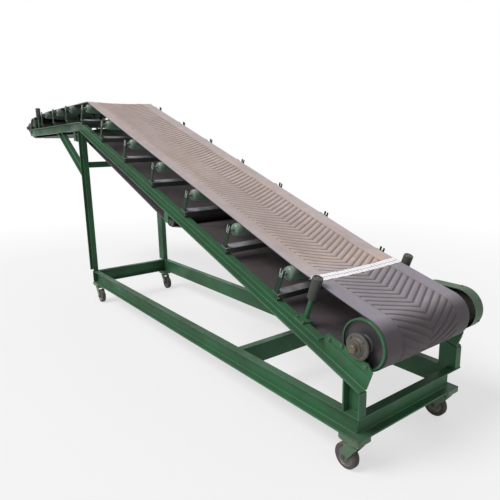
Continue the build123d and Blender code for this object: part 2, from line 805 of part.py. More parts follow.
half_tread = wheel_width / 2
half_hub = leg_y - hub_gap
half_wheel = [
    (half_hub, wheel_bore_radius), (half_hub, hub_radius), (half_tread, hub_radius),
    (half_tread, wheel_radius),
]
wheel_profile = half_wheel + [(-x, r) for x, r in reversed(half_wheel)]
for end, x, trail in castors:
    wheel_x = x + trail * castor_trail
    for side, name in sides:
        y = side * castor_y
        with BuildPart() as fork:
            with BuildSketch(Plane.XY.offset(swivel_top)):
                with Locations((x, y)):
                    Circle(swivel_radius)
            extrude(amount=-swivel_height)
            with BuildSketch(Plane.XY.offset(swivel_top)):
                with Locations((x, y)):
                    Circle(kingpin_radius)
            extrude(amount=castor_plate_thickness)
            with Locations((x, y, crown_bottom)):
                Box(fork_crown_width, 2 * (leg_y + fork_wall), fork_crown,
                    align=(Align.CENTER, Align.CENTER, Align.MIN))
            with BuildSketch(Plane.XZ.offset(-y)):
                with BuildLine():
                    Line((x - fork_crown_width / 2, crown_bottom), (x + fork_crown_width / 2, crown_bottom))
                    CenterArc((wheel_x, wheel_radius), fork_lug_radius, 0, 360)
                make_hull()
            extrude(amount=leg_y + fork_wall, both=True)
            with Locations((x, y, 0)):
                Box(fork_room, 2 * leg_y, crown_bottom,
                    align=(Align.CENTER, Align.CENTER, Align.MIN), mode=Mode.SUBTRACT)
            with BuildSketch(Plane.XZ.offset(-y)):
                with Locations((wheel_x, wheel_radius)):
                    Circle(wheel_bore_radius - axle_gap)
            extrude(amount=leg_y + fork_wall, both=True)
        keep(fork.part, "fork_" + end + "_" + name)
        centre = Vector(wheel_x, y, wheel_radius)
        with BuildPart() as wheel:
            with BuildSketch(Plane(origin=centre, x_dir=across, z_dir=(1, 0, 0))):
                with BuildLine():
                    Polyline(*wheel_profile, close=True)
                make_face()
            revolve(axis=Axis(centre, across))
        keep(wheel.part, "wheel_" + end + "_" + name)

# Origin under the middle of the outer box, then one file for each node
boxes = [node.bounding_box() for node in nodes]
middle_x = (min(box.min.X for box in boxes) + max(box.max.X for box in boxes)) / 2
middle_y = (min(box.min.Y for box in boxes) + max(box.max.Y for box in boxes)) / 2
origin_shift = Vector(-middle_x, -middle_y, -min(box.min.Z for box in boxes))
for node in nodes:
    placed = node.moved(Location(origin_shift))
    placed.label = node.label
    export_step(placed, "parts/" + node.label + ".step")
print("origin shift", origin_shift)
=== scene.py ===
"""Dresses the mobile belt conveyor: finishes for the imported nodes, and the pieces that show from near.

Lengths are in metres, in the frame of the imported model: +X to the low feed end, +Z up.
"""

import json
import logging
import math
import random
from bisect import bisect_right
from dataclasses import dataclass, field
from enum import Enum
from typing import Any, Callable, Iterable, Union

import bmesh
import bpy
from mathutils import Matrix, Vector


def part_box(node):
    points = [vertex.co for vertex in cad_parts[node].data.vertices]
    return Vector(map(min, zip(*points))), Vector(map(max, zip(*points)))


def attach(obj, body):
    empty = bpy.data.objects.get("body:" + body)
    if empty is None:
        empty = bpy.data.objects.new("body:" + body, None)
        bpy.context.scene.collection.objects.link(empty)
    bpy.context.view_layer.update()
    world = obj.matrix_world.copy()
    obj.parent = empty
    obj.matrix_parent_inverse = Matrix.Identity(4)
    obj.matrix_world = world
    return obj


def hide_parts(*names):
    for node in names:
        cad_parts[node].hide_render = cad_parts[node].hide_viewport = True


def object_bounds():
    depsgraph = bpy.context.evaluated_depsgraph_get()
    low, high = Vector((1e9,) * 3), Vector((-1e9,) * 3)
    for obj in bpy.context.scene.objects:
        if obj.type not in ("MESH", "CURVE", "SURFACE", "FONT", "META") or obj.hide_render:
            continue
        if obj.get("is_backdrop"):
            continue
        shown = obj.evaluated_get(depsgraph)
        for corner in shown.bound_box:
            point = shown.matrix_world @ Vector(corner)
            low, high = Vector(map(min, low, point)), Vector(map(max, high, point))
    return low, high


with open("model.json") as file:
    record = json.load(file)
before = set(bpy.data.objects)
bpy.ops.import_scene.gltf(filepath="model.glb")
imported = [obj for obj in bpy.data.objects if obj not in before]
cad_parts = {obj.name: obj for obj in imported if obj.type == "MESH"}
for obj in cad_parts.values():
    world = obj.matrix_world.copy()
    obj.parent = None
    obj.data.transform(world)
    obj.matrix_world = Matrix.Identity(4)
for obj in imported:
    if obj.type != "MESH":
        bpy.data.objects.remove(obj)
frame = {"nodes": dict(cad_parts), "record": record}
log = logging.getLogger("conveyor")
Socket = bpy.types.NodeSocket
Pair = tuple[float, float]
Triple = tuple[float, float, float]
Colour = Triple
Value = Union[Socket, float, int, Colour]
Outline = list[Pair]
Row = tuple[Vector, Vector, float]
CHASSIS = "chassis"
CORNERS = ("low_near", "low_far", "high_near", "high_far")
SIDES = ((-1, "near"), (1, "far"))
AXIS_X, AXIS_Y, AXIS_Z = Vector((1, 0, 0)), Vector((0, 1, 0)), Vector((0, 0, 1))
BUMP_DISTANCE = 0.0008
COPY_SEED, WIRE_SEED, BEAD_SEED = 3, 7, 5


# Shader graphs


class Graph:
    """Short ways to add and link nodes in one material or node group."""

    def __init__(self, tree: bpy.types.NodeTree) -> None:
        """Works on the given tree."""
        self.tree = tree

    def add(self, kind: str, inputs: dict[Any, Any] | None = None, **settings: Any) -> bpy.types.Node:
        """Adds a node.

        Args:
            kind: The node's bl_idname.
            inputs: Values or sockets for its inputs, by name or index.
            settings: Properties of the node itself.

        Returns:
            The new node.
        """
        node = self.tree.nodes.new(kind)
        for key, value in settings.items():
            setattr(node, key, value)
        for key, value in (inputs or {}).items():
            self.feed(node.inputs[key], value)
        return node

    def out(self, kind: str, inputs: dict[Any, Any] | None = None, pick: int | str = 0,
            **settings: Any) -> Socket:
        """Adds a node and returns the output that pick names."""
        return self.add(kind, inputs, **settings).outputs[pick]

    def feed(self, socket: Socket, value: Any) -> None:
        """Links a socket to value, or sets it where value is a number or a colour.

        Args:
            socket: The input socket.
            value: A socket, a number or a tuple.
        """
        if isinstance(value, Socket):
            self.tree.links.new(value, socket)
        elif isinstance(value, tuple) and len(value) == 3 and len(socket.default_value) == 4:
            socket.default_value = (*value, 1.0)
        else:
            socket.default_value = value

    def group(self, tree: bpy.types.NodeTree, **values: float) -> Any:
        """Adds a node group with values for its inputs, and returns its outputs."""
        return self.add("ShaderNodeGroup", values, node_tree=tree).outputs

    def math(self, operation: str, first: Value, second: Value) -> Socket:
        """Returns the result of a Math node."""
        return self.out("ShaderNodeMath", {0: first, 1: second}, operation=operation)

    def times(self, first: Value, second: Value) -> Socket:
        """Returns the product of two values."""
        return self.math("MULTIPLY", first, second)

    def mix(self, share: Value, first: Value, second: Value) -> Socket:
        """Returns first turning to second as share goes from 0 to 1."""
        return self.out("ShaderNodeMix", {0: share, 6: first, 7: second}, 2, data_type="RGBA")

    def span(self, value: Value, low: float, high: float, to_low: float = 0.0,
             to_high: float = 1.0) -> Socket:
        """Returns value mapped from low and high to to_low and to_high, and clamped."""
        return self.out("ShaderNodeMapRange", {0: value, 1: low, 2: high, 3: to_low, 4: to_high})

    def place(self) -> Socket:
        """Returns the object coordinates."""
        return self.out("ShaderNodeTexCoord", pick="Object")

    def noise(self, vector: Value, scale: Value, detail: float = 4.0, roughness: float = 0.55) -> Socket:
        """Returns a noise value on the given coordinates."""
        inputs = {"Vector": vector, "Scale": scale, "Detail": detail, "Roughness": roughness}
        return self.out("ShaderNodeTexNoise", inputs)


def node_group(name: str, inputs: dict[str, float], outputs: Iterable[str],
               recipe: Callable[[Graph, Any], dict[str, Socket]]) -> bpy.types.NodeTree:
    """Makes a shader node group with float sockets.

    Args:
        name: The group's name.
        inputs: Default value of each input, by name.
        outputs: Names of the outputs.
        recipe: Takes the group's graph and its input sockets, and returns what feeds each output.

    Returns:
        The group's tree.
    """
    tree = bpy.data.node_groups.new(name, "ShaderNodeTree")
    for label, value in inputs.items():
        socket = tree.interface.new_socket(label, in_out="INPUT", socket_type="NodeSocketFloat")
        socket.default_value = value
    for label in outputs:
        tree.interface.new_socket(label, in_out="OUTPUT", socket_type="NodeSocketFloat")
    graph = Graph(tree)
    graph.add("NodeGroupOutput", recipe(graph, graph.add("NodeGroupInput").outputs))
    return tree


class Effects:
    """The node groups that several finishes share."""

    def __init__(self) -> None:
        """Builds every group once."""
        wear_inputs = {"Radius": 0.003, "Amount": 0.5, "Scale": 60.0}
        # The edge mask carries wear, and on the green paints a painted highlight; the mask of faces that look
        # up carries dust, and on the green paints partly a painted highlight on the tops.
        self.edge_wear_and_highlight = node_group("edge_wear_and_highlight", wear_inputs, ("Mask",), self._edge_wear_and_highlight)
        self.dust = node_group("dust", {"Amount": 0.5, "Scale": 9.0}, ("Mask",), self._dust_and_highlight)
        self.grain = node_group("grain", {"Scale": 220.0, "Coarse": 18.0}, ("Fine", "Height"), self._grain)
        self.blotches = node_group("blotches", {"Wide": 2.5, "Close": 24.0}, ("Stain", "Rust"),
                                   self._blotches)

    @staticmethod
    def _edge_wear_and_highlight(graph: Graph, given: Any) -> dict[str, Socket]:
        """Masks the edges, broken up by noise: wear, and a painted highlight on the green paints.

        Args:
            graph: The group's graph.
            given: Its input sockets.

        Returns:
            The mask.
        """
        rounded = graph.out("ShaderNodeBevel", {"Radius": given["Radius"]}, samples=4)
        flat = graph.out("ShaderNodeNewGeometry", pick="Normal")
        agree = graph.out("ShaderNodeVectorMath", {0: rounded, 1: flat}, "Value", operation="DOT_PRODUCT")
        bend = graph.span(agree, 0.995, 0.80)
        breaks = graph.span(graph.noise(graph.place(), given["Scale"]), 0.42, 0.62)
        return {"Mask": graph.times(graph.times(bend, breaks), given["Amount"])}

    @staticmethod
    def _dust_and_highlight(graph: Graph, given: Any) -> dict[str, Socket]:
        """Masks faces that look up: dust, and partly a painted highlight on the green paints.

        Args:
            graph: The group's graph.
            given: Its input sockets.

        Returns:
            The mask.
        """
        up = graph.out("ShaderNodeSeparateXYZ", {0: graph.out("ShaderNodeNewGeometry", pick="Normal")}, 2)
        lies = graph.span(up, 0.35, 0.95, 0.06, 1.0)
        patches = graph.span(graph.noise(graph.place(), given["Scale"], 6.0), 0.30, 0.68, 0.25, 1.0)
        return {"Mask": graph.times(graph.times(lies, patches), given["Amount"])}

    @staticmethod
    def _grain(graph: Graph, given: Any) -> dict[str, Socket]:
        """Gives a fine grain for bump and roughness.

        Args:
            graph: The group's graph.
            given: Its input sockets.

        Returns:
            The fine grain, and the height with a coarse grain under it.
        """
        fine = graph.noise(graph.place(), given["Scale"], 3.0, 0.6)
        coarse = graph.noise(graph.place(), given["Coarse"], 4.0, 0.5)
        return {"Fine": fine, "Height": graph.math("ADD", graph.times(fine, 0.4), coarse)}

    @staticmethod
    def _blotches(graph: Graph, given: Any) -> dict[str, Socket]:
        """Gives a wide mask for stains and a close one for rust.

        Args:
            graph: The group's graph.
            given: Its input sockets.

        Returns:
            Both masks.
        """
        wide = graph.noise(graph.place(), given["Wide"], 5.0, 0.6)
        close = graph.noise(graph.place(), given["Close"], 8.0, 0.7)
        rust = graph.times(graph.span(close, 0.55, 0.72), graph.span(wide, 0.42, 0.60, 0.25, 1.0))
        return {"Stain": graph.span(wide, 0.38, 0.64), "Rust": rust}


def new_graph(name: str) -> tuple[bpy.types.Material, Graph]:
    """Makes a material with an empty tree.

    Args:
        name: The material's name.

    Returns:
        The material, and a graph on it.
    """
    material = bpy.data.materials.new(name)
    material.use_nodes = True
    material.node_tree.nodes.clear()
    return material, Graph(material.node_tree)


def end_material(graph: Graph, colour: Socket, roughness: Socket, height: Socket, strength: float,
                 metallic: float, specular: float) -> None:
    """Ends a material's graph in a Principled BSDF with a bump.

    Args:
        graph: Graph on the material's tree.
        colour: Socket for the base colour.
        roughness: Socket for the roughness.
        height: Socket for the bump's height.
        strength: The bump's strength.
        metallic: Share of metal.
        specular: Specular level.
    """
    bump = graph.out("ShaderNodeBump", {"Strength": strength, "Distance": BUMP_DISTANCE, "Height": height})
    shader = graph.out("ShaderNodeBsdfPrincipled", {
        "Base Color": colour, "Roughness": roughness, "Normal": bump, "Metallic": metallic,
        "Specular IOR Level": specular})
    graph.add("ShaderNodeOutputMaterial", {"Surface": shader})


@dataclass(frozen=True)
class Weathered:
    """A painted, cast or unpainted metal: stains, dust, rust, edge wear, and painted highlights on some."""

    name: str
    base: Colour
    shade: Colour
    grime: Colour = (0.032, 0.030, 0.027)
    # Colour on faces that look up: dust, and on the green paints partly a painted highlight on the tops.
    dust: Colour = (0.200, 0.175, 0.150)
    # Colour along the edges: wear, and on the green paints a painted highlight.
    bare_and_highlight: Colour = (0.230, 0.225, 0.210)
    rust: Colour = (0.110, 0.045, 0.022)
    grime_share: float = 0.55
    dust_and_highlight_share: float = 0.45
    rust_share: float = 0.35
    wear_and_highlight_share: float = 0.80
    wear_radius: float = 0.004
    roughness: Pair = (0.36, 0.62)
    metallic: float = 0.0
    bump: float = 0.35
    specular: float = 0.5

    def material(self, effects: Effects) -> bpy.types.Material:
        """Builds the material.

        Args:
            effects: The shared node groups.

        Returns:
            The finished material.
        """
        material, graph = new_graph(self.name)
        blotches, grain = graph.group(effects.blotches), graph.group(effects.grain)
        # Top mask: dust, and on the green paints partly a painted highlight on the tops.
        dusted = graph.group(effects.dust, Amount=self.dust_and_highlight_share)["Mask"]
        # Edge mask: wear, and on the green paints a painted highlight along the edges.
        wear_and_highlight_mask = graph.group(effects.edge_wear_and_highlight, Amount=self.wear_and_highlight_share, Radius=self.wear_radius)["Mask"]
        colour = graph.mix(grain["Fine"], self.base, self.shade)
        colour = graph.mix(graph.times(blotches["Stain"], self.grime_share), colour, self.grime)
        colour = graph.mix(graph.times(blotches["Rust"], self.rust_share), colour, self.rust)
        colour = graph.mix(wear_and_highlight_mask, graph.mix(dusted, colour, self.dust), self.bare_and_highlight)
        roughness = graph.span(blotches["Stain"], 0.0, 1.0, *self.roughness)
        end_material(graph, colour, roughness, grain["Height"], self.bump, self.metallic, self.specular)
        return material


@dataclass(frozen=True)
class DustyRubber:
    """The belt's rubber: pale with dust where it carries, dark in the grooves and round the drums."""

    name: str = "belt_dusty_rubber"
    rubber: Colour = (0.040, 0.031, 0.036)
    brown_rubber: Colour = (0.082, 0.058, 0.054)
    dust: Colour = (0.525, 0.418, 0.355)
    pale_dust: Colour = (0.540, 0.465, 0.455)
    dark_dust: Colour = (0.370, 0.300, 0.280)
    # Tint of the plain margins, strongest at the edges: lilac, partly a painted sheen.
    lilac_tint_and_sheen: Colour = (0.470, 0.430, 0.490)
    ochre: Colour = (0.600, 0.390, 0.290)
    groove: Colour = (0.245, 0.190, 0.176)
    cool: Colour = (0.400, 0.400, 0.520)
    cool_groove: Colour = (0.150, 0.130, 0.145)
    cool_from: Pair = (2.26, 2.52)
    stain_width: float = 3.2
    streak_scale: Triple = (1.2, 14.0, 1.2)
    roughness: Pair = (0.55, 0.92)
    bump: float = 0.5
    specular: float = 0.3

    def material(self, effects: Effects) -> bpy.types.Material:
        """Builds the material from the mesh's own attributes.

        Args:
            effects: The shared node groups.

        Returns:
            The finished material.
        """
        material, graph = new_graph(self.name)
        blotches, grain = graph.group(effects.blotches, Wide=self.stain_width), graph.group(effects.grain)
        dusted, raised, margin, spilt = (graph.out("ShaderNodeAttribute", pick="Fac", attribute_name=name)
                                         for name in ("dusted", "raised", "margin", "spilt"))
        streaks = graph.out("ShaderNodeMapping", {"Vector": graph.place(), "Scale": self.streak_scale})
        near_tail = graph.span(graph.out("ShaderNodeSeparateXYZ", {0: graph.place()}), *self.cool_from)
        tone = graph.mix(graph.span(graph.noise(streaks, 1.6, 5.0), 0.36, 0.66), self.dust, self.pale_dust)
        # The margin share mixes in the lilac tint, partly a painted sheen.
        for mask, share, tint in ((blotches["Stain"], 0.50, self.dark_dust),
                                  (grain["Fine"], 0.25, self.dark_dust),
                                  (margin, 0.75, self.lilac_tint_and_sheen), (near_tail, 0.45, self.cool)):
            tone = graph.mix(graph.times(mask, share), tone, tint)
        spill = graph.times(spilt, graph.span(grain["Height"], 0.55, 0.85))
        tone = graph.mix(spill, tone, self.ochre)
        patch = graph.span(grain["Height"], 0.45, 1.0, 0.82, 1.0)
        rubber = graph.mix(graph.times(blotches["Rust"], 0.85), self.rubber, self.brown_rubber)
        top = graph.mix(graph.times(dusted, patch), rubber, tone)
        low = graph.mix(dusted, rubber, graph.mix(near_tail, self.groove, self.cool_groove))
        roughness = graph.span(dusted, 0.0, 1.0, *self.roughness)
        end_material(graph, graph.mix(raised, low, top), roughness, grain["Height"], self.bump, 0.0,
                     self.specular)
        return material


class Finish(Enum):
    """The finishes, by the record's material slot or by the piece that takes them."""

    # Frame green: the greenish dust on faces that look up is partly a painted highlight on the tops; the
    # light green edge colour is a painted highlight.
    FRAME = Weathered("frame_green_paint", (0.030, 0.131, 0.054), (0.024, 0.106, 0.044), grime_share=0.45,
                      specular=0.25, dust=(0.100, 0.140, 0.105), dust_and_highlight_share=0.26, bare_and_highlight=(0.110, 0.210, 0.140),
                      rust_share=0.42)
    # Idler brackets: a darker copy of the green paint as painted shade, with a green painted highlight along
    # the edges.
    FRAME_IN_PAINTED_SHADE = Weathered("bracket_paint_painted_shade", (0.010, 0.040, 0.022), (0.007, 0.026, 0.014),
                           dust_and_highlight_share=0.15, bare_and_highlight=(0.080, 0.125, 0.088), wear_and_highlight_share=0.45,
                           wear_radius=0.0015, specular=0.12)
    ANGLE = Weathered("idler_angle_paint", (0.024, 0.040, 0.030), (0.018, 0.028, 0.022), dust_and_highlight_share=1.0,
                      dust=(0.400, 0.390, 0.410), rust_share=0.2)
    IDLER = Weathered("idler_pale_paint", (0.135, 0.225, 0.160), (0.098, 0.168, 0.118), dust_and_highlight_share=0.6,
                      dust=(0.25, 0.28, 0.25), bare_and_highlight=(0.46, 0.50, 0.45), rust_share=0.45, grime_share=0.50,
                      roughness=(0.28, 0.5))
    # Guard green: the greenish dust on faces that look up is partly a painted highlight on the tops; the
    # light green edge colour is a painted highlight.
    GUARD = Weathered("guard_green_paint", (0.026, 0.104, 0.036), (0.021, 0.084, 0.029), dust_and_highlight_share=0.28,
                      dust=(0.130, 0.165, 0.108), bare_and_highlight=(0.120, 0.210, 0.150), rust_share=0.3)
    DRUM = Weathered("drum_worn_steel", (0.052, 0.047, 0.052), (0.036, 0.033, 0.037), metallic=0.2,
                     dust_and_highlight_share=0.25, dust=(0.120, 0.105, 0.100), bare_and_highlight=(0.150, 0.215, 0.165))
    IRON = Weathered("bearing_cast_iron", (0.088, 0.078, 0.064), (0.062, 0.055, 0.046), dust_and_highlight_share=0.35,
                     rust_share=0.6, bump=0.6, bare_and_highlight=(0.160, 0.150, 0.120))
    SHAFT = Weathered("shaft_oiled_steel", (0.150, 0.122, 0.080), (0.110, 0.090, 0.060), metallic=0.35,
                      dust_and_highlight_share=0.2, grime_share=0.5, wear_and_highlight_share=0.4, roughness=(0.34, 0.55))
    GUIDE = Weathered("guide_worn_steel", (0.054, 0.056, 0.050), (0.036, 0.035, 0.035), metallic=0.2,
                      dust_and_highlight_share=0.5, dust=(0.16, 0.17, 0.16), bare_and_highlight=(0.24, 0.26, 0.24), wear_radius=0.003)
    MOTOR = Weathered("motor_blue_paint", (0.055, 0.085, 0.115), (0.045, 0.068, 0.092), dust_and_highlight_share=0.7)
    CHAIN = Weathered("chain_oily_steel", (0.090, 0.080, 0.070), (0.060, 0.052, 0.046), metallic=0.5,
                      dust_and_highlight_share=0.3, roughness=(0.28, 0.5))
    CASTOR = Weathered("castor_worn_steel", (0.072, 0.155, 0.076), (0.056, 0.116, 0.060), dust_and_highlight_share=0.4,
                       rust_share=0.4, grime_share=0.35, bare_and_highlight=(0.30, 0.33, 0.28))
    HUB = Weathered("hub_dull_steel", (0.200, 0.188, 0.170), (0.130, 0.120, 0.108), metallic=0.3,
                    dust_and_highlight_share=0.4, rust_share=0.5)
    TYRE = Weathered("tyre_dusty_rubber", (0.074, 0.062, 0.058), (0.050, 0.042, 0.040), dust_and_highlight_share=0.5,
                     rust_share=0.0, grime_share=0.4, wear_and_highlight_share=0.35, bare_and_highlight=(0.26, 0.24, 0.21),
                     roughness=(0.75, 0.9), bump=0.6)
    BOLT = Weathered("bolt_painted_steel", (0.070, 0.125, 0.080), (0.048, 0.085, 0.054), metallic=0.2,
                     dust_and_highlight_share=0.3, rust_share=0.7, wear_radius=0.0015, bare_and_highlight=(0.240, 0.300, 0.240))
    # Slot edges: unpainted steel, brightened into a painted highlight.
    SLOT_EDGE_AND_HIGHLIGHT = Weathered("slot_bare_steel_and_highlight", (0.560, 0.600, 0.570), (0.420, 0.460, 0.430), metallic=0.3,
                    dust_and_highlight_share=0.1, rust_share=0.3, grime_share=0.2, wear_and_highlight_share=0.2)
    LACING = Weathered("lacing_bright_steel", (0.960, 0.950, 0.965), (0.890, 0.880, 0.895), metallic=0.05,
                       dust_and_highlight_share=0.08, grime_share=0.08, rust_share=0.05, wear_and_highlight_share=0.0,
                       roughness=(0.28, 0.42), bump=0.15)
    BELT = DustyRubber()


SLOT_FINISH = {
    "frame_paint": Finish.FRAME, "idler_paint": Finish.IDLER, "belt_rubber": Finish.BELT,
    "drum_steel": Finish.DRUM, "bearing_iron": Finish.IRON, "guard_paint": Finish.GUARD,
    "motor_paint": Finish.MOTOR, "chain_steel": Finish.CHAIN, "castor_steel": Finish.CASTOR,
    "castor_tyre": Finish.TYRE,
}
# The idler brackets take the darker copy of the frame's green: painted shade.
NODE_FINISH = {"idler_angles": Finish.ANGLE, "idler_brackets": Finish.FRAME_IN_PAINTED_SHADE, "guide_stems": Finish.FRAME}


# Places on the machine


def middle_of(node: str) -> Vector:
    """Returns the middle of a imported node's box."""
    low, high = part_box(node)
    return (low + high) / 2


def axes(origin: Vector, x_axis: Vector, y_axis: Vector) -> Matrix:
    """Makes the matrix of a place.

    Args:
        origin: Where it is.
        x_axis: Direction of its X axis.
        y_axis: Direction of its Y axis.

    Returns:
        The matrix.
    """
    x_axis, y_axis = x_axis.normalized(), y_axis.normalized()
    z_axis = x_axis.cross(y_axis)
    rows = [(x_axis[i], y_axis[i], z_axis[i], origin[i]) for i in range(3)]
    return Matrix((*rows, (0, 0, 0, 1)))


def facing(origin: Vector, z_axis: Vector) -> Matrix:
    """Returns the matrix of a place whose Z axis points along z_axis."""
    return Matrix.Translation(origin) @ AXIS_Z.rotation_difference(z_axis).to_matrix().to_4x4()


@dataclass
class Layout:
    """Where things are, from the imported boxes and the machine's own lengths."""

    incline: float = math.radians(19.8)
    trough: float = math.radians(3.0)
    knee_to_tail: float = 3.415
    knee_above_tail: float = 1.134
    tail_s: float = 3.5973
    head_reach: float = 2.05
    half_width: float = 0.4125
    web_back: float = 0.3695
    rail_back: float = 0.3645
    drum_radius: float = 0.120
    roller_radius: float = 0.038
    bend_radius: float = 0.060
    bearing_flange: float = 0.012
    idlers_incline: tuple[float, float, int] = (0.058, 0.500, 7)
    idlers_level: tuple[float, float, int] = (0.400, 0.470, 3)
    guides_from_tail: float = 0.338
    guides_from_head: float = 0.390
    motor_back: float = 0.325
    motor_height: float = 0.480
    chain_plane: float = 0.450
    tail: Vector = field(init=False)
    head: Vector = field(init=False)
    knee: Vector = field(init=False)
    down: Vector = field(init=False)
    normal: Vector = field(init=False)

    def __post_init__(self) -> None:
        """Reads the drums' middles, and works out the knee and the directions of the slope."""
        self.tail, self.head = middle_of("tail_drum"), middle_of("head_drum")
        sides = (*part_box("side_rail_near"), *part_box("side_rail_far"))
        self.tail.y = self.head.y = sum(corner.y for corner in sides) / 4
        self.knee = self.tail + Vector((-self.knee_to_tail, 0.0, self.knee_above_tail))
        self.down = Vector((math.cos(self.incline), 0.0, -math.sin(self.incline)))
        self.normal = Vector((math.sin(self.incline), 0.0, math.cos(self.incline)))

    def on_incline(self, s: float, y: float, rise: float) -> Vector:
        """Returns the point s down the slope from the knee, rise above the stringer's top."""
        return self.knee + self.down * s + self.normal * rise + Vector((0.0, y, 0.0))

    def on_level(self, t: float, y: float, rise: float) -> Vector:
        """Returns the point t outwards from the knee on the level length."""
        return self.knee + Vector((-t, y, rise))

    def idler_places(self) -> list[Matrix]:
        """Finds the places of the idler sets.

        Returns:
            A matrix for each set: X across, Y off the stringer, Z down the slope.
        """
        places = []
        for (first, pitch, count), put, up in ((self.idlers_incline, self.on_incline, self.normal),
                                               (self.idlers_level, self.on_level, AXIS_Z)):
            places += [axes(put(first + pitch * index, 0.0, 0.0), AXIS_Y, up) for index in range(count)]
        return places


# Meshes


def ring(count: int, radius: float = 1.0, shift: float = 0.0) -> Outline:
    """Spaces points evenly round a circle.

    Args:
        count: Number of points.
        radius: The circle's radius.
        shift: Place of the first point, in spacings.

    Returns:
        The points.
    """
    angles = [2 * math.pi * (index + shift) / count for index in range(count)]
    return [(radius * math.cos(angle), radius * math.sin(angle)) for angle in angles]


def toothed(teeth: int, tip: float, root: float) -> Outline:
    """Draws the outline of a chain sprocket.

    Args:
        teeth: Number of teeth.
        tip: Radius at their tips.
        root: Radius between them.

    Returns:
        The outline's points.
    """
    outline = []
    flank = root + (tip - root) * 0.2
    for tooth in range(teeth):
        for share, radius in ((0.10, tip), (0.30, flank), (0.50, root), (0.70, flank), (0.90, tip)):
            angle = 2 * math.pi * (tooth + share) / teeth
            outline.append((radius * math.cos(angle), radius * math.sin(angle)))
    return outline


def mirrored(profile: Outline, about: float = 0.0) -> Outline:
    """Returns a lathe profile, carried on by its mirror image about a place along Z."""
    return profile + [(2 * about - along, radius) for along, radius in reversed(profile)]


def smooth(data: bpy.types.Mesh, under: float = 32.0) -> None:
    """Shades a mesh smooth, except at edges sharper than the angle in degrees."""
    data.polygons.foreach_set("use_smooth", [True] * len(data.polygons))
    data.set_sharp_from_angle(angle=math.radians(under))


class Solids:
    """Collects the vertices and faces of one piece, from closed shapes."""

    def __init__(self) -> None:
        """Starts with nothing."""
        self.points: list[Vector] = []
        self.faces: list[tuple[int, ...]] = []

    def shape(self, place: Matrix, points: Iterable[Any], faces: Iterable[tuple[int, ...]]) -> None:
        """Adds a closed shape.

        Args:
            place: Where it goes.
            points: Its vertices at the origin.
            faces: Its faces as tuples of indices.
        """
        start = len(self.points)
        self.points += [place @ Vector(point) for point in points]
        self.faces += [tuple(index + start for index in face) for face in faces]

    def lathe(self, place: Matrix, profile: Outline, segments: int = 40) -> None:
        """Adds a turned shape round the place's Z axis.

        Args:
            place: Where it goes.
            profile: Points (along Z, radius) from one end on the axis to the other.
            segments: Faces round it.
        """
        points, rings, faces = [], [], []
        for along, radius in profile:
            if radius < 1e-6:
                rings.append([len(points)] * segments)
                points.append((0, 0, along))
            else:
                rings.append(list(range(len(points), len(points) + segments)))
                points += [(x, y, along) for x, y in ring(segments, radius)]
        for low, high in zip(rings, rings[1:]):
            for step in range(segments):
                after = (step + 1) % segments
                kept = tuple(dict.fromkeys((low[step], low[after], high[after], high[step])))
                if len(kept) > 2:
                    faces.append(kept)
        self.shape(place, points, faces)

    def rod(self, place: Matrix, start: float, end: float, radius: float, segments: int) -> None:
        """Adds a plain round bar from start to end along the place's Z axis."""
        self.lathe(place, [(start, 0), (start, radius), (end, radius), (end, 0)], segments)

    def prism(self, place: Matrix, outline: Outline, depth: float) -> None:
        """Adds an outline in the place's XY plane, pushed along Z.

        Args:
            place: Where it goes.
            outline: Its corners.
            depth: How far it is pushed.
        """
        count = len(outline)
        faces = [tuple(range(count)), tuple(range(count, 2 * count))]
        faces += [(i, (i + 1) % count, count + (i + 1) % count, count + i) for i in range(count)]
        self.shape(place, [(x, y, z) for z in (0.0, depth) for x, y in outline], faces)

    def block(self, place: Matrix, size: Triple) -> None:
        """Adds a block centred on the place in X and Y, standing on it in Z."""
        x, y, z = size
        self.prism(place, [(-x / 2, -y / 2), (x / 2, -y / 2), (x / 2, y / 2), (-x / 2, y / 2)], z)

    def tube(self, path: list[Vector], radius: float, sides: int = 6) -> None:
        """Adds a round bar along a path.

        Args:
            path: The points that its middle follows.
            radius: Its radius.
            sides: Faces round it.
        """
        points, faces = [], []
        last = len(path) - 1
        for index, point in enumerate(path):
            ahead = path[min(index + 1, last)] - path[max(index - 1, 0)]
            turn = facing(point, ahead.normalized())
            points += [turn @ Vector((x, y, 0)) for x, y in ring(sides, radius)]
        for start in range(0, last * sides, sides):
            for step in range(sides):
                after = (step + 1) % sides
                faces.append((start + step, start + after, start + sides + after, start + sides + step))
        faces += [tuple(range(sides)), tuple(range(last * sides, (last + 1) * sides))]
        self.shape(Matrix.Identity(4), points, faces)

    def mesh(self, name: str, smooth_under: float = 32.0, bevel: float = 0.0) -> bpy.types.Mesh:
        """Makes the mesh, with its faces outwards.

        Args:
            name: The mesh's name.
            smooth_under: Edges with a smaller angle, in degrees, are shaded smooth.
            bevel: Width of the bevel on its sharp edges, none where it is 0.

        Returns:
            The mesh.
        """
        made = bmesh.new()
        corners = [made.verts.new(point) for point in self.points]
        for face in self.faces:
            made.faces.new([corners[index] for index in face])
        bmesh.ops.recalc_face_normals(made, faces=made.faces)
        if bevel:
            sharp = [e for e in made.edges if e.is_manifold and e.calc_face_angle(0) > math.radians(40)]
            bmesh.ops.bevel(made, geom=sharp, offset=bevel, segments=2, profile=0.6, affect="EDGES",
                            clamp_overlap=True)
        data = bpy.data.meshes.new(name)
        made.to_mesh(data)
        made.free()
        smooth(data, smooth_under)
        return data


# Geometry Nodes


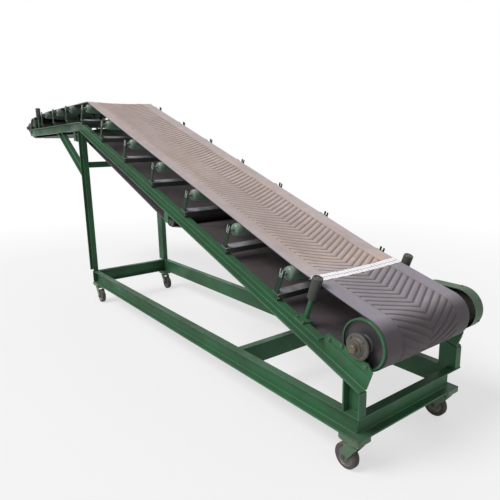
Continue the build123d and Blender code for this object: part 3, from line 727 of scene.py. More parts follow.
class Pattern:
    """A Geometry Nodes tree that is built here and turned to a plain mesh."""

    def __init__(self, name: str, **inputs: str) -> None:
        """Makes the tree with its sockets.

        Args:
            name: The tree's name.
            inputs: Kind of each input beside the geometry and the material, by name.
        """
        self.tree = bpy.data.node_groups.new(name, "GeometryNodeTree")
        sockets = self.tree.interface
        sockets.new_socket("Geometry", in_out="INPUT", socket_type="NodeSocketGeometry")
        self.sockets: dict[str, str] = {}
        for label, kind in (*inputs.items(), ("Material", "Material")):
            made = sockets.new_socket(label, in_out="INPUT", socket_type="NodeSocket" + kind)
            self.sockets[label] = made.identifier
        sockets.new_socket("Geometry", in_out="OUTPUT", socket_type="NodeSocketGeometry")
        self.graph = Graph(self.tree)
        self.given = self.graph.add("NodeGroupInput").outputs

    def end(self, points: Socket, shape: Socket, inputs: dict[str, Socket] | None = None) -> None:
        """Closes the tree: the shape on its points, Realize Instances and Set Material.

        Args:
            points: The points that carry the copies.
            shape: What is repeated.
            inputs: What else the copies take, such as their scale.
        """
        graph = self.graph
        taken = {"Points": points, "Instance": shape, **(inputs or {})}
        placed = graph.out("GeometryNodeInstanceOnPoints", taken)
        real = graph.out("GeometryNodeRealizeInstances", {0: placed})
        dressed = graph.out("GeometryNodeSetMaterial", {"Geometry": real, "Material": self.given["Material"]})
        graph.add("NodeGroupOutput", {0: dressed})

    def run(self, name: str, base: bpy.types.Mesh, material: bpy.types.Material,
            **values: Any) -> bpy.types.Mesh:
        """Runs the tree on a mesh.

        Args:
            name: Name of the mesh that comes out.
            base: The mesh that goes in.
            material: The material of the copies.
            values: Values of the other inputs, by name.

        Returns:
            The plain mesh.
        """
        holder = bpy.data.objects.new(name + "_source", base)
        bpy.context.scene.collection.objects.link(holder)
        modifier = holder.modifiers.new("pattern", "NODES")
        modifier.node_group = self.tree
        for label, value in (*values.items(), ("Material", material)):
            modifier[self.sockets[label]] = value
        bpy.context.view_layer.update()
        data = bpy.data.meshes.new_from_object(holder.evaluated_get(bpy.context.evaluated_depsgraph_get()))
        data.name = name
        holder.modifiers.clear()
        bpy.data.objects.remove(holder)
        return data


class Repeater(Pattern):
    """Repeats one object at points, turned to each point's axis and grown by its size."""

    def __init__(self) -> None:
        """Builds the tree."""
        super().__init__("repeat_at_points", Object="Object", Seed="Int", Spin="Float")
        graph, given = self.graph, self.given
        source = graph.out("GeometryNodeObjectInfo", {"Object": given["Object"]}, "Geometry")
        axis = graph.out("GeometryNodeInputNamedAttribute", {"Name": "axis"}, data_type="FLOAT_VECTOR")
        size = graph.out("GeometryNodeInputNamedAttribute", {"Name": "size"}, data_type="FLOAT")
        turned = graph.out("FunctionNodeAlignRotationToVector", {"Vector": axis}, axis="Z")
        spin = graph.out("FunctionNodeRandomValue", {"Seed": given["Seed"], 3: given["Spin"]}, 1,
                         data_type="FLOAT")
        about = graph.out("ShaderNodeCombineXYZ", {2: spin})
        rotated = graph.out("FunctionNodeRotateRotation", {0: turned, 1: about}, rotation_space="LOCAL")
        self.end(given["Geometry"], source, {"Rotation": rotated, "Scale": size})


class Beads(Pattern):
    """Lays overlapping weld ripples along edges."""

    def __init__(self) -> None:
        """Builds the tree."""
        super().__init__("weld_beads", Radius="Float", Pitch="Float", Seed="Int")
        graph, given = self.graph, self.given
        curve = graph.out("GeometryNodeMeshToCurve", {0: given["Geometry"]})
        spaced = graph.out("GeometryNodeResampleCurve", {"Curve": curve, "Length": given["Pitch"]},
                           mode="LENGTH")
        ripple = graph.out("GeometryNodeMeshIcoSphere", {"Radius": given["Radius"], "Subdivisions": 1})
        size = graph.out("FunctionNodeRandomValue", {"Seed": given["Seed"], 2: 0.75, 3: 1.15}, 1,
                         data_type="FLOAT")
        self.end(spaced, ripple, {"Scale": size})


class RibRow(Pattern):
    """Repeats one rib along X at an even pitch."""

    def __init__(self) -> None:
        """Builds the tree."""
        super().__init__("belt_ribs", Rib="Object", Count="Int", Pitch="Float")
        graph, given = self.graph, self.given
        step = graph.out("ShaderNodeCombineXYZ", {0: given["Pitch"]})
        line = graph.out("GeometryNodeMeshLine", {"Count": given["Count"], "Offset": step})
        self.end(line, graph.out("GeometryNodeObjectInfo", {"Object": given["Rib"]}, "Geometry"))


def points_mesh(name: str, rows: list[Row]) -> bpy.types.Mesh:
    """Makes points without edges or faces that carry an axis and a size.

    Args:
        name: The mesh's name.
        rows: Place, axis and size of each point.

    Returns:
        The mesh.
    """
    data = bpy.data.meshes.new(name)
    data.from_pydata([tuple(place) for place, _, _ in rows], [], [])
    axis = data.attributes.new("axis", "FLOAT_VECTOR", "POINT")
    axis.data.foreach_set("vector", [value for _, direction, _ in rows for value in direction])
    size = data.attributes.new("size", "FLOAT", "POINT")
    size.data.foreach_set("value", [grown for _, _, grown in rows])
    return data


class Workshop:
    """Makes finished pieces, with one material for each finish."""

    def __init__(self) -> None:
        """Builds the shared effects, every finish and the repeater."""
        effects = Effects()
        self.materials = {finish: finish.value.material(effects) for finish in Finish}
        self.repeater = Repeater()

    def piece(self, name: str, shape: Union[Solids, bpy.types.Mesh], finish: Finish, slot: str,
              *replaces: str, body: str = CHASSIS) -> None:
        """Adds a shape to the scene as a piece of the object.

        Args:
            name: The piece's name.
            shape: Its solids or its mesh, in place.
            finish: Its finish.
            slot: The record's material slot that it belongs to; not used.
            replaces: Nodes that it stands for.
            body: The body that it rides on.
        """
        data = shape.mesh(name) if isinstance(shape, Solids) else shape
        thing = bpy.data.objects.new(name, data)
        bpy.context.scene.collection.objects.link(thing)
        data.materials.clear()
        data.materials.append(self.materials[finish])
        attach(thing, body)
        if replaces:
            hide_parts(*replaces)
        log.info("%s: %d faces on %s", name, len(data.polygons), body)

    def repeated(self, name: str, shape: Solids, rows: list[Row], finish: Finish, slot: str,
                 *replaces: str, spin: float = 0.0) -> None:
        """Repeats a shape that stands along Z, and adds the copies as one piece.

        Args:
            name: The piece's name.
            shape: The shape, at the origin.
            rows: Place, axis and size of each copy.
            finish: The finish of the copies.
            slot: The record's material slot that they belong to.
            replaces: Nodes that the piece stands for.
            spin: Most that a copy is turned about its own axis, in radians.
        """
        source = bpy.data.objects.new(name + "_shape", shape.mesh(name + "_shape"))
        data = self.repeater.run(name, points_mesh(name + "_points", rows), self.materials[finish],
                                 Object=source, Seed=COPY_SEED, Spin=spin)
        smooth(data)
        self.piece(name, data, finish, slot, *replaces)

    def dress_nodes(self) -> None:
        """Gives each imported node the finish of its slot."""
        for part in frame["record"]["subparts"]:
            node = frame["nodes"][part["node"]]
            material = self.materials[NODE_FINISH.get(part["node"], SLOT_FINISH[part["material_slot"]])]
            if not node.data.materials:
                node.data.materials.append(material)
            for held in node.material_slots:
                held.material = material


# The belt


def clamp(value: float) -> float:
    """Returns value held between 0 and 1."""
    return min(1.0, max(0.0, value))


def leaving_angle(centre: Vector, end: Vector, radius: float) -> float:
    """Returns the angle on a drum at which a straight run to end leaves it."""
    run = end - centre
    return math.atan2(run.z, run.x) + math.copysign(math.acos(abs(radius) / run.length), radius)


def run_angle(first: Triple, second: Triple) -> float:
    """Finds the outward normal's angle on the straight run between two pulleys.

    Args:
        first: Place and radius of the pulley that the run leaves, its radius negative if it turns back.
        second: The same of the next one.

    Returns:
        The angle.
    """
    dx, dz = second[0] - first[0], second[1] - first[1]
    return math.atan2(dz, dx) - math.acos((first[2] - second[2]) / math.hypot(dx, dz))


def store(data: bpy.types.Mesh, values: dict[str, list[float]]) -> None:
    """Writes the values that the belt's finish reads on a mesh's points.

    Args:
        data: The mesh.
        values: A row of values for each attribute, by name.
    """
    for name, row in values.items():
        held = data.attributes.get(name) or data.attributes.new(name, "FLOAT", "POINT")
        held.data.foreach_set("value", row)


@dataclass
class Station:
    """One place on the belt's loop: middle of its thickness, outward normal, trough and dust."""

    x: float
    z: float
    nx: float
    nz: float
    trough: float
    dusted: float
    along: float = 0.0


@dataclass
class BeltLoop:
    """The belt: a closed loop with herringbone ribs, dusty where it carries."""

    layout: Layout
    width: float = 0.650
    thickness: float = 0.010
    gap: float = 0.0003
    edge_rise: float = 0.190
    step: float = 0.018
    turn_step: float = 0.09
    columns: tuple[float, ...] = (0.322, 0.30, 0.265, 0.226, 0.219, 0.165)
    arm_reach: float = 0.222
    arm_lean: float = 0.49
    arm_steps: int = 8
    rib_pitch: float = 0.040
    rib_height: float = 0.0026
    rib_foot: float = 0.0163
    rib_top: float = 0.0128
    rib_sunk: float = 0.0006
    lacing_s: float = 3.212
    lacing_skew: float = 0.012
    lacing_width: float = 0.056
    lacing_plates: int = 25
    lacing_margin: float = 0.006
    plate_offset: float = 0.26
    plate_shares: Pair = (0.46, 0.82)
    plate_thickness: float = 0.0028
    pin_radius: float = 0.0024
    wire_radius: float = 0.0012
    loose_wires: int = 14
    dust_below_lacing: float = 0.58
    dust_on_return: float = 0.14
    fade_length: float = 1.6
    fade_share: float = 0.25
    stations: list[Station] = field(default_factory=list)
    marks: list[float] = field(default_factory=list)

    def trace(self) -> None:
        """Works out the stations round the loop, from the tail drum up the incline and back below."""
        lay = self.layout
        middle = self.gap + self.thickness / 2
        radius, flat = lay.drum_radius + middle, lay.drum_radius + self.gap
        under = self.edge_rise - self.width / 3 * math.sin(lay.trough) - self.thickness
        rise = under + self.thickness / 2
        last_s, last_t = (first + pitch * (count - 1) for first, pitch, count in
                          (lay.idlers_incline, lay.idlers_level))
        tail_leaves = leaving_angle(lay.tail, lay.on_incline(last_s, 0.0, under), -flat)
        head_leaves = leaving_angle(lay.head, lay.on_level(last_t, 0.0, under), flat)
        half = lay.incline / 2
        knee = lay.knee + Vector((math.sin(half), 0.0, math.cos(half))) * (rise / math.cos(half))
        ends = [(drum.x + radius * math.cos(angle), drum.z + radius * math.sin(angle), 0.0)
                for drum, angle in ((lay.tail, tail_leaves), (lay.head, head_leaves))]
        on_idlers = [(point.x, point.z, 1.0) for point in
                     (lay.on_incline(last_s, 0.0, rise), knee, lay.on_level(last_t, 0.0, rise))]
        self._carry([ends[0], *on_idlers, ends[1]])
        low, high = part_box("return_rollers")
        bend, r = middle_of("bend_pulley"), lay.roller_radius
        pulleys = [(lay.head.x, lay.head.z, radius),
                   (low.x + r, high.z - r, -r - middle),
                   (bend.x, bend.z, lay.bend_radius + middle),
                   (high.x - r, low.z + r, -r - middle),
                   (lay.tail.x, lay.tail.z, radius)]
        angle_in = head_leaves
        for index, (pulley, following) in enumerate(zip(pulleys, (*pulleys[1:], None))):
            angle_out = run_angle(pulley, following) if following else tail_leaves + 2 * math.pi
            self._wrap(pulley, angle_in, angle_out, index)
            if following:
                self._return_run(pulley, following, angle_out)
            angle_in = angle_out
        self._measure()

    def _carry(self, corners: list[Triple]) -> None:
        """Adds the carrying side's stations.

        Args:
            corners: X, Z and trough at each place where the belt turns or its trough changes.
        """
        total = sum(math.dist(a[:2], b[:2]) for a, b in zip(corners, corners[1:]))
        passed = 0.0
        for (ax, az, trough_a), (bx, bz, trough_b) in zip(corners, corners[1:]):
            length = math.dist((ax, az), (bx, bz))
            count = max(2, round(length / self.step))
            dx, dz = (bx - ax) / length, (bz - az) / length
            for index in range(count):
                share = index / count
                along = passed + length * share
                above = clamp((along - self.layout.tail_s + self.lacing_s) / 0.02)
                dusted = self.dust_below_lacing + (1.0 - self.dust_below_lacing) * above
                fading = 1.0 - self.fade_share * max(0.0, along - total + self.fade_length) / self.fade_length
                self.stations.append(Station(ax + dx * length * share, az + dz * length * share, dz, -dx,
                                             trough_a + (trough_b - trough_a) * share, dusted * fading))
            passed += length

    def _wrap(self, pulley: Triple, start: float, end: float, index: int) -> None:
        """Adds the stations of the belt's turn round a pulley.

        Args:
            pulley: Its X, Z and radius.
            start: Angle at which the belt meets it.
            end: Angle at which the belt leaves it.
            index: Its number, 0 at the head drum and 4 at the tail drum.
        """
        x, z, radius = pulley
        turn = (end - start) % (2 * math.pi) if radius > 0 else -((start - end) % (2 * math.pi))
        count = max(2, math.ceil(abs(turn) / self.turn_step))
        for step in range(count):
            angle = start + turn * step / count
            dusted = self.dust_on_return
            if index == 0:
                dusted = max(dusted, 0.62 - 0.9 * step / count)
            if index == 4:
                dusted = max(0.05, 0.60 - 2.6 * (count - step) / count)
            c, s = math.cos(angle), math.sin(angle)
            self.stations.append(Station(x + radius * c, z + radius * s, c, s, 0.0, dusted))

    def _return_run(self, first: Triple, second: Triple, angle: float) -> None:
        """Adds the stations of a straight run on the way back.

        Args:
            first: X, Z and radius of the pulley that it leaves.
            second: The same of the next one.
            angle: Angle of the run's outward normal.
        """
        c, s = math.cos(angle), math.sin(angle)
        ax, az = first[0] + first[2] * c, first[1] + first[2] * s
        bx, bz = second[0] + second[2] * c, second[1] + second[2] * s
        count = max(2, round(math.dist((ax, az), (bx, bz)) / self.step))
        for share in (index / count for index in range(count)):
            self.stations.append(Station(ax + (bx - ax) * share, az + (bz - az) * share, c, s, 0.0,
                                         self.dust_on_return))

    def _measure(self) -> None:
        """Sets each station's distance along the loop, closes the list and leans the knee's normal."""
        start = self.stations[0]
        self.stations.append(Station(start.x, start.z, start.nx, start.nz, start.trough, start.dusted))
        for before, here in zip(self.stations, self.stations[1:]):
            here.along = before.along + math.dist((before.x, before.z), (here.x, here.z))
        self.marks = [station.along for station in self.stations]
        knee = next(s for s in self.stations[1:] if s.nx < 0.01 and s.along > 3.0)
        knee.nx, knee.nz = math.tan(self.layout.incline / 2), 1.0

    def wrapped(self, along: float, y: float, height: float) -> tuple[Vector, float]:
        """Lays a point of the flat belt on the loop.

        Args:
            along: Distance along the loop.
            y: Distance from the centre line.
            height: Height above the middle of the belt's thickness.

        Returns:
            The point in place and how dusty the belt is there.
        """
        along %= self.marks[-1]
        index = min(bisect_right(self.marks, along) - 1, len(self.marks) - 2)
        a, b = self.stations[index], self.stations[index + 1]
        share = (along - a.along) / max(1e-9, b.along - a.along)

        def between(name: str) -> float:
            """Returns a station's value at this share of the way."""
            return getattr(a, name) + (getattr(b, name) - getattr(a, name)) * share

        side = max(0.0, abs(y) - self.width / 6)
        trough = between("trough")
        lift = height + side * math.sin(self.layout.trough) * trough
        inward = side * (1 - math.cos(self.layout.trough)) * trough
        place = Vector((between("x") + between("nx") * lift,
                        self.layout.tail.y + math.copysign(abs(y) - inward, y),
                        between("z") + between("nz") * lift))
        return place, between("dusted")

    def spot(self, along: float, y: float, height: float) -> Vector:
        """Returns a point of the flat belt, laid on the loop."""
        return self.wrapped(along, y, height)[0]

    def _tints(self, along: float, y: float) -> Pair:
        """Finds how far a point is in the plain margin, and in the dust spilt above the lacing.

        Args:
            along: Distance along the loop.
            y: Distance from the centre line.

        Returns:
            Both shares.
        """
        past = along - (self.layout.tail_s - self.lacing_s)
        # The margin share sets the lilac tint, partly a painted sheen, weaker above the lacing.
        margin = clamp((abs(y) - self.arm_reach) / 0.09) * (1.0 if past < 0 else 0.6)
        near = math.exp(-(past / 0.11) ** 2) if past > 0 else 0.0
        return margin, near * clamp(0.45 + y / 0.30)

    def carcass(self) -> bpy.types.Mesh:
        """Makes the belt's plain body, with its dust and its grooved middle as attributes.

        Returns:
            The body's mesh.
        """
        columns = [-y for y in (self.width / 2, *self.columns, self.width / 6, 0.05)]
        columns += [0.0, *(-y for y in reversed(columns))]
        half = self.thickness / 2
        points, faces = [], []
        values: dict[str, list[float]] = {"dusted": [], "raised": [], "margin": [], "spilt": []}
        for station in self.stations[:-1]:
            for height in (half - self.rib_height, -half):
                for y in columns:
                    place, dust = self.wrapped(station.along, y, height)
                    points.append(place)
                    top = height > 0
                    found = (dust if top else 0.10, 1.0 if abs(y) > self.arm_reach or not top else 0.0,
                             *self._tints(station.along, y))
                    for row, value in zip(values.values(), found):
                        row.append(value)
        across, ends = len(columns), len(self.stations) - 1
        loop = 2 * across
        for index in range(ends):
            here, after = index * loop, ((index + 1) % ends) * loop
            for c in range(across - 1):
                faces.append((here + c, here + c + 1, after + c + 1, after + c))
                faces.append((here + across + c, after + across + c, after + across + c + 1,
                              here + across + c + 1))
            faces.append((here, after, after + across, here + across))
            faces.append((here + across - 1, here + loop - 1, after + loop - 1, after + across - 1))
        data = bpy.data.meshes.new("belt_carcass")
        data.from_pydata(points, [], faces)
        store(data, values)
        made = bmesh.new()
        made.from_mesh(data)
        bmesh.ops.recalc_face_normals(made, faces=made.faces)
        made.to_mesh(data)
        made.free()
        smooth(data, 40.0)
        return data

    def rib(self) -> bpy.types.Mesh:
        """Makes one rib on the flat belt.

        Returns:
            The rib's mesh, its apex at the origin and its arms climbing along X.
        """
        points, raised, faces = [], [], []
        inner, shoulder = self.arm_reach - 0.006, self.rib_height - 0.0003
        profile = ((-self.rib_foot, -self.rib_sunk, 0.10), (-self.rib_top, shoulder, 0.9),
                   (0.0, self.rib_height, 1.0), (self.rib_top, shoulder, 0.9),
                   (self.rib_foot, -self.rib_sunk, 0.10))
        sections = [inner * i / self.arm_steps for i in range(-self.arm_steps, self.arm_steps + 1)]
        for y in [-self.arm_reach, *sections, self.arm_reach]:
            end = abs(y) > self.arm_reach - 1e-6
            for x, height, tone in profile:
                points.append((self.arm_lean * abs(y) + x * (0.8 if end else 1.0), y,
                               -self.rib_sunk if end else height))
                raised.append(tone)
        width = len(profile)
        for start in range(0, len(points) - width, width):
            faces += [(a, a + 1, a + width + 1, a + width) for a in range(start, start + width - 1)]
        data = bpy.data.meshes.new("belt_rib")
        data.from_pydata(points, [], faces)
        store(data, {"raised": raised})
        return data

    def ribs(self, material: bpy.types.Material) -> bpy.types.Mesh:
        """Repeats the rib along the flat belt and lays the row on the loop.

        Args:
            material: The belt's material.

        Returns:
            The ribs' mesh.
        """
        length = self.marks[-1]
        count = round(length / self.rib_pitch)
        source = bpy.data.objects.new("belt_rib_source", self.rib())
        data = RibRow().run("belt_ribs", bpy.data.meshes.new("belt_rib_row"), material, Rib=source,
                            Count=count, Pitch=length / count)
        values: dict[str, list[float]] = {"dusted": [], "margin": [], "spilt": []}
        skin = self.thickness / 2 - self.rib_height
        for vertex in data.vertices:
            along, y, height = vertex.co
            vertex.co, dust = self.wrapped(along, y, skin + height)
            for row, value in zip(values.values(), (dust, *self._tints(along % length, y))):
                row.append(value)
        store(data, values)
        smooth(data, 50.0)
        return data

    def lacing(self) -> Solids:
        """Makes the row of bright steel plates that joins the belt's ends, with frayed wires.

        Returns:
            The lacing.
        """
        random.seed(WIRE_SEED)
        solids = Solids()
        middle, edge, skin = self._lacing_along(), self.width / 2, self.thickness / 2
        pitch = (self.width - 2 * self.lacing_margin) / self.lacing_plates
        plate = (self.lacing_width * self.plate_shares[0], pitch * self.plate_shares[1], self.plate_thickness)
        for index in range(self.lacing_plates):
            y = -edge + self.lacing_margin + pitch * (index + 0.5)
            along = middle - self.lacing_skew * y / self.width
            wander = random.uniform(-0.0016, 0.0016)
            for half in (-1, 1):
                start = along + half * self.lacing_width * self.plate_offset
                place = self.spot(start, y, skin)
                matrix = axes(place, self.spot(start + 0.01, y, skin) - place, AXIS_Y)
                matrix = matrix @ Matrix.Rotation(random.uniform(-0.05, 0.05), 4, "Y")
                solids.block(matrix @ Matrix.Translation((wander, 0, -0.0006)), plate)
                for side in (-1, 1):
                    rivet = matrix @ Matrix.Translation((half * 0.004, side * pitch * 0.2, 0.0020))
                    solids.lathe(rivet, [(0, 0), (0, 0.0032), (0.0014, 0.0022), (0.0018, 0)], 8)
            pin = [self.spot(along, y + side * pitch / 2, skin + 0.0016) for side in (-1, 1)]
            solids.tube(pin, self.pin_radius)
        for _ in range(self.loose_wires):
            start = self.spot(middle + random.uniform(-0.02, 0.03), -edge + 0.012, 0.006)
            reach = Vector((random.uniform(-0.04, 0.03), random.uniform(-0.020, -0.006),
                            random.uniform(-0.012, 0.010)))
            bend = start + reach * 0.55 + AXIS_Z * random.uniform(0.0, 0.010)
            solids.tube([start, bend, start + reach], self.wire_radius, 5)
        return solids

    def _lacing_along(self) -> float:
        """Finds the lacing on the loop.

        Returns:
            Its distance along the loop.
        """
        goal = self.layout.on_incline(self.lacing_s, 0.0, self.edge_rise)
        above = (s for s in self.stations if s.nz > 0.5)
        return min(above, key=lambda s: math.dist((s.x, s.z), (goal.x, goal.z))).along

    def build(self, shop: Workshop) -> None:
        """Builds and dresses the belt.

        Args:
            shop: Makes the finished pieces.
        """
        self.trace()
        shop.piece("belt_carcass", self.carcass(), Finish.BELT, "belt_rubber", "belt")
        shop.piece("belt_ribs", self.ribs(shop.materials[Finish.BELT]), Finish.BELT, "belt_rubber")
        shop.piece("belt_lacing", self.lacing(), Finish.LACING, "drum_steel")


# Rollers, drums and bearings


@dataclass
class Rollers:
    """The idler rollers, with sunk ends and bearing seals on flat bars."""

    layout: Layout
    axis_rise: float = 0.13036
    foot_y: float = 0.11034
    foot_rise: float = 0.13041
    centre_length: float = 0.224
    wing_start: float = 0.02370
    wing_end: float = 0.24597
    bar: Pair = (0.018, 0.014)
    bar_sunk: float = 0.010
    inner_bar: float = 0.010
    outer_bar: float = 0.051
    bracket_face: float = 0.4009
    slot_rise: float = 0.1454
    slot_half: float = 0.0073
    slot_floor: float = 0.0093
    bracket_over: float = 0.032
    rim_radius: float = 0.0026

    def _roller(self, solids: Solids, place: Matrix, length: float, outer_bar: float, cap: bool) -> None:
        """Adds one roller that starts at the place and runs along its Z axis.

        Args:
            solids: What it is added to.
            place: Middle of its start, Z along it.
            length: Its length.
            outer_bar: How far its flat bar stands out at the far end.
            cap: Whether its far end carries a domed seal cap.
        """
        r = self.layout.roller_radius
        end = [(0.0045, 0.0), (0.0045, 0.0150), (0.0030, 0.0155), (0.0030, 0.0190), (0.0055, 0.0195),
               (0.0055, 0.0310), (0.0000, 0.0330), (0.0000, r - 0.0025), (0.0007, r - 0.0008), (0.0025, r)]
        dome = [(length - 0.010, r), (length - 0.003, r - 0.0025), (length + 0.002, r - 0.008),
                (length + 0.005, r - 0.015), (length + 0.006, 0.016), (length + 0.003, 0.015),
                (length + 0.003, 0.0)]
        solids.lathe(place, end + dome if cap else mirrored(end, length / 2), 40)
        for start, stands_out in ((-self.inner_bar, self.inner_bar), (length - self.bar_sunk, outer_bar)):
            solids.block(place @ Matrix.Translation((0, 0, start)), (*self.bar, stands_out + self.bar_sunk))

    def build(self, shop: Workshop) -> None:
        """Builds and dresses the three rows of rollers.

        Args:
            shop: Makes the finished pieces.
        """
        centre, places, tilt = Solids(), self.layout.idler_places(), self.layout.trough
        for place in places:
            start = place @ Matrix.Translation((-self.centre_length / 2, self.axis_rise, 0))
            self._roller(centre, start @ axes(Vector(), AXIS_Y, AXIS_Z), self.centre_length, self.inner_bar,
                         False)
        shop.piece("centre_roller_row", centre, Finish.IDLER, "idler_paint", "centre_rollers")
        for side, name in SIDES:
            wings = Solids()
            along = Vector((side * math.cos(tilt), math.sin(tilt), 0))
            upright = Vector((-side * math.sin(tilt), math.cos(tilt), 0))
            foot = Vector((side * self.foot_y, self.foot_rise, 0)) + along * self.wing_start
            local = axes(foot, upright, along.cross(upright))
            for place in places:
                self._roller(wings, place @ local, self.wing_end - self.wing_start, self.outer_bar, True)
            shop.piece("wing_roller_row_" + name, wings, Finish.IDLER, "idler_paint", "wing_rollers_" + name)
        # The slot rims: unpainted steel edges, bright as a painted highlight.
        shop.piece("bracket_slot_rims", self._rims(places).mesh("bracket_slot_rims", 60.0), Finish.SLOT_EDGE_AND_HIGHLIGHT,
                   "idler_paint")

    def _rims(self, places: list[Matrix]) -> Solids:
        """Makes the unpainted edges round the outer brackets' slots, brightened as a painted highlight.

        Args:
            places: The idler sets' places.

        Returns:
            The rims.
        """
        rims = Solids()
        reach, low, top = self.slot_half + 0.0016, -self.slot_floor - 0.0022, self.bracket_over - 0.001
        curve = mirrored([(-reach, top), (-reach, low + 0.004), (-reach * 0.6, low)])
        for place in places:
            for side in (-1, 1):
                y = side * (self.bracket_face + 0.0006)
                path = [place @ Vector((y, self.slot_rise + rise, z)) for z, rise in curve]
                rims.tube(path, self.rim_radius)
        return rims


@dataclass
class DrumEnds:
    """The end drums with their painted bands, their shafts and the round flange bearings."""

    layout: Layout
    half_length: float = 0.340
    wall: float = 0.008
    inset: float = 0.014
    shaft: float = 0.022
    pin: float = 0.020
    bearing_radius: float = 0.062
    hub_radius: float = 0.033
    hub_length: float = 0.016
    pin_length: float = 0.020
    driven_end: float = 0.4745

    def _shell(self, centre: Vector) -> Solids:
        """Makes a drum's shell with its sunk end discs and hubs.

        Args:
            centre: The drum's middle.

        Returns:
            The shell.
        """
        drum = Solids()
        h, r, rim = self.half_length, self.layout.drum_radius, self.layout.drum_radius - self.wall
        disc = h - self.inset
        end = [(disc + 0.006, 0.0), (disc + 0.006, 0.042), (disc, 0.046), (disc, rim - 0.004),
               (disc + 0.003, rim), (h - 0.001, rim), (h, rim + 0.001), (h, r - 0.0015), (h - 0.0015, r)]
        drum.lathe(facing(centre, AXIS_Y), mirrored(end), 96)
        return drum

    def _band(self, solids: Solids, centre: Vector, side: int) -> None:
        """Adds the painted band round one end of a drum, beside the belt.

        Args:
            solids: What it is added to.
            centre: The drum's middle.
            side: The end, -1 near and 1 far.
        """
        h, r, rim = self.half_length, self.layout.drum_radius, self.layout.drum_radius - self.wall
        profile = [(h - 0.0135, r - 0.0004), (h - 0.0135, r + 0.0006), (h + 0.0004, r + 0.0006),
                   (h + 0.0012, r - 0.0004), (h + 0.0012, rim + 0.0008), (h - 0.0004, rim + 0.0008),
                   (h - 0.0004, r - 0.0004), (h - 0.0135, r - 0.0004)]
        solids.lathe(facing(centre, AXIS_Y * side), profile, 96)

    def _shaft(self, solids: Solids, centre: Vector, far_pin: bool) -> None:
        """Adds a drum's shaft, with a centre hole in each free end.

        Args:
            solids: What it is added to.
            centre: The drum's middle.
            far_pin: Whether the far end is free too, and doesn't carry the sprocket.
        """
        hub = self.layout.web_back + self.layout.bearing_flange + self.hub_length
        tip = hub + self.pin_length
        near = [(-tip + 0.004, 0.0), (-tip, 0.004), (-tip, self.pin - 0.0015), (-tip + 0.0015, self.pin),
                (-hub, self.pin), (-hub, self.shaft)]
        driven = near + [(self.driven_end, self.shaft), (self.driven_end, 0.0)]
        solids.lathe(facing(centre, AXIS_Y), mirrored(near) if far_pin else driven, 40)

    def _bearing(self, solids: Solids, centre: Vector, side: int) -> None:
        """Adds a flange bearing: disc, raised housing, seal ring and collar.

        Args:
            solids: What it is added to.
            centre: The drum's middle.
            side: The end that it carries, -1 near and 1 far.
        """
        out = AXIS_Y * side
        f, r, hub = self.layout.bearing_flange, self.bearing_radius, self.hub_radius
        h, bore = f + self.hub_length, self.shaft + 0.0003
        profile = [(0, bore), (0, r), (f - 0.003, r), (f - 0.001, r - 0.001), (f, r - 0.003), (f, 0.045),
                   (f + 0.003, 0.041), (f + 0.008, 0.0395), (f + 0.009, 0.0380), (f + 0.009, hub),
                   (h - 0.001, hub), (h, hub - 0.001), (h, bore), (0, bore)]
        solids.lathe(facing(centre + out * self.layout.web_back, out), profile, 64)

    def build(self, shop: Workshop) -> None:
        """Builds and dresses the drums, shafts and bearings.

        Args:
            shop: Makes the finished pieces.
        """
        bearings, shafts, bands = Solids(), Solids(), Solids()
        for centre, name in ((self.layout.tail, "tail"), (self.layout.head, "head")):
            self._shaft(shafts, centre, name == "head")
            shop.piece(name + "_drum_shell", self._shell(centre), Finish.DRUM, "drum_steel", name + "_drum")
            for side in (-1, 1):
                self._bearing(bearings, centre, side)
                self._band(bands, centre, side)
        shop.piece("drum_end_bands", bands, Finish.FRAME, "frame_paint")
        shop.piece("drum_shafts", shafts, Finish.SHAFT, "drum_steel")
        shop.piece("flange_bearings", bearings, Finish.IRON, "bearing_iron", "drum_bearings")


@dataclass
class ReturnRollers:
    """The rollers and the bend pulley that guide the belt on its way back."""

    layout: Layout
    shaft: float = 0.008
    hang: float = 0.3635
    roller_length: float = 0.700
    bend_length: float = 0.680

    def _spindle(self, solids: Solids, x: float, z: float, radius: float, length: float) -> None:
        """Adds a roller on its shaft, with sunk ends and seals.

        Args:
            solids: What it is added to.
            x: Where its middle is along the machine.
            z: How high its middle is.
            radius: Its radius.
            length: Its length without the shaft.
        """
        half = length / 2
        end = [(-self.hang, 0.0), (-self.hang, self.shaft), (-half + 0.001, self.shaft),
               (-half + 0.001, 0.017), (-half + 0.005, 0.018), (-half + 0.005, radius - 0.006),
               (-half, radius - 0.005), (-half, radius - 0.001), (-half + 0.001, radius)]
        solids.lathe(facing(Vector((x, self.layout.tail.y, z)), AXIS_Y), mirrored(end), 48)

    def build(self, shop: Workshop) -> None:
        """Builds and dresses the two rollers and the pulley.

        Args:
            shop: Makes the finished pieces.
        """
        rollers, pulley, r = Solids(), Solids(), self.layout.roller_radius
        low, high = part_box("return_rollers")
        for x, z in ((low.x + r, high.z - r), (high.x - r, low.z + r)):
            self._spindle(rollers, x, z, r, self.roller_length)
        shop.piece("return_roller_pair", rollers, Finish.IDLER, "idler_paint", "return_rollers")
        middle = middle_of("bend_pulley")
        self._spindle(pulley, middle.x, middle.z, self.layout.bend_radius, self.bend_length)
        shop.piece("bend_pulley_shell", pulley, Finish.DRUM, "drum_steel", "bend_pulley")


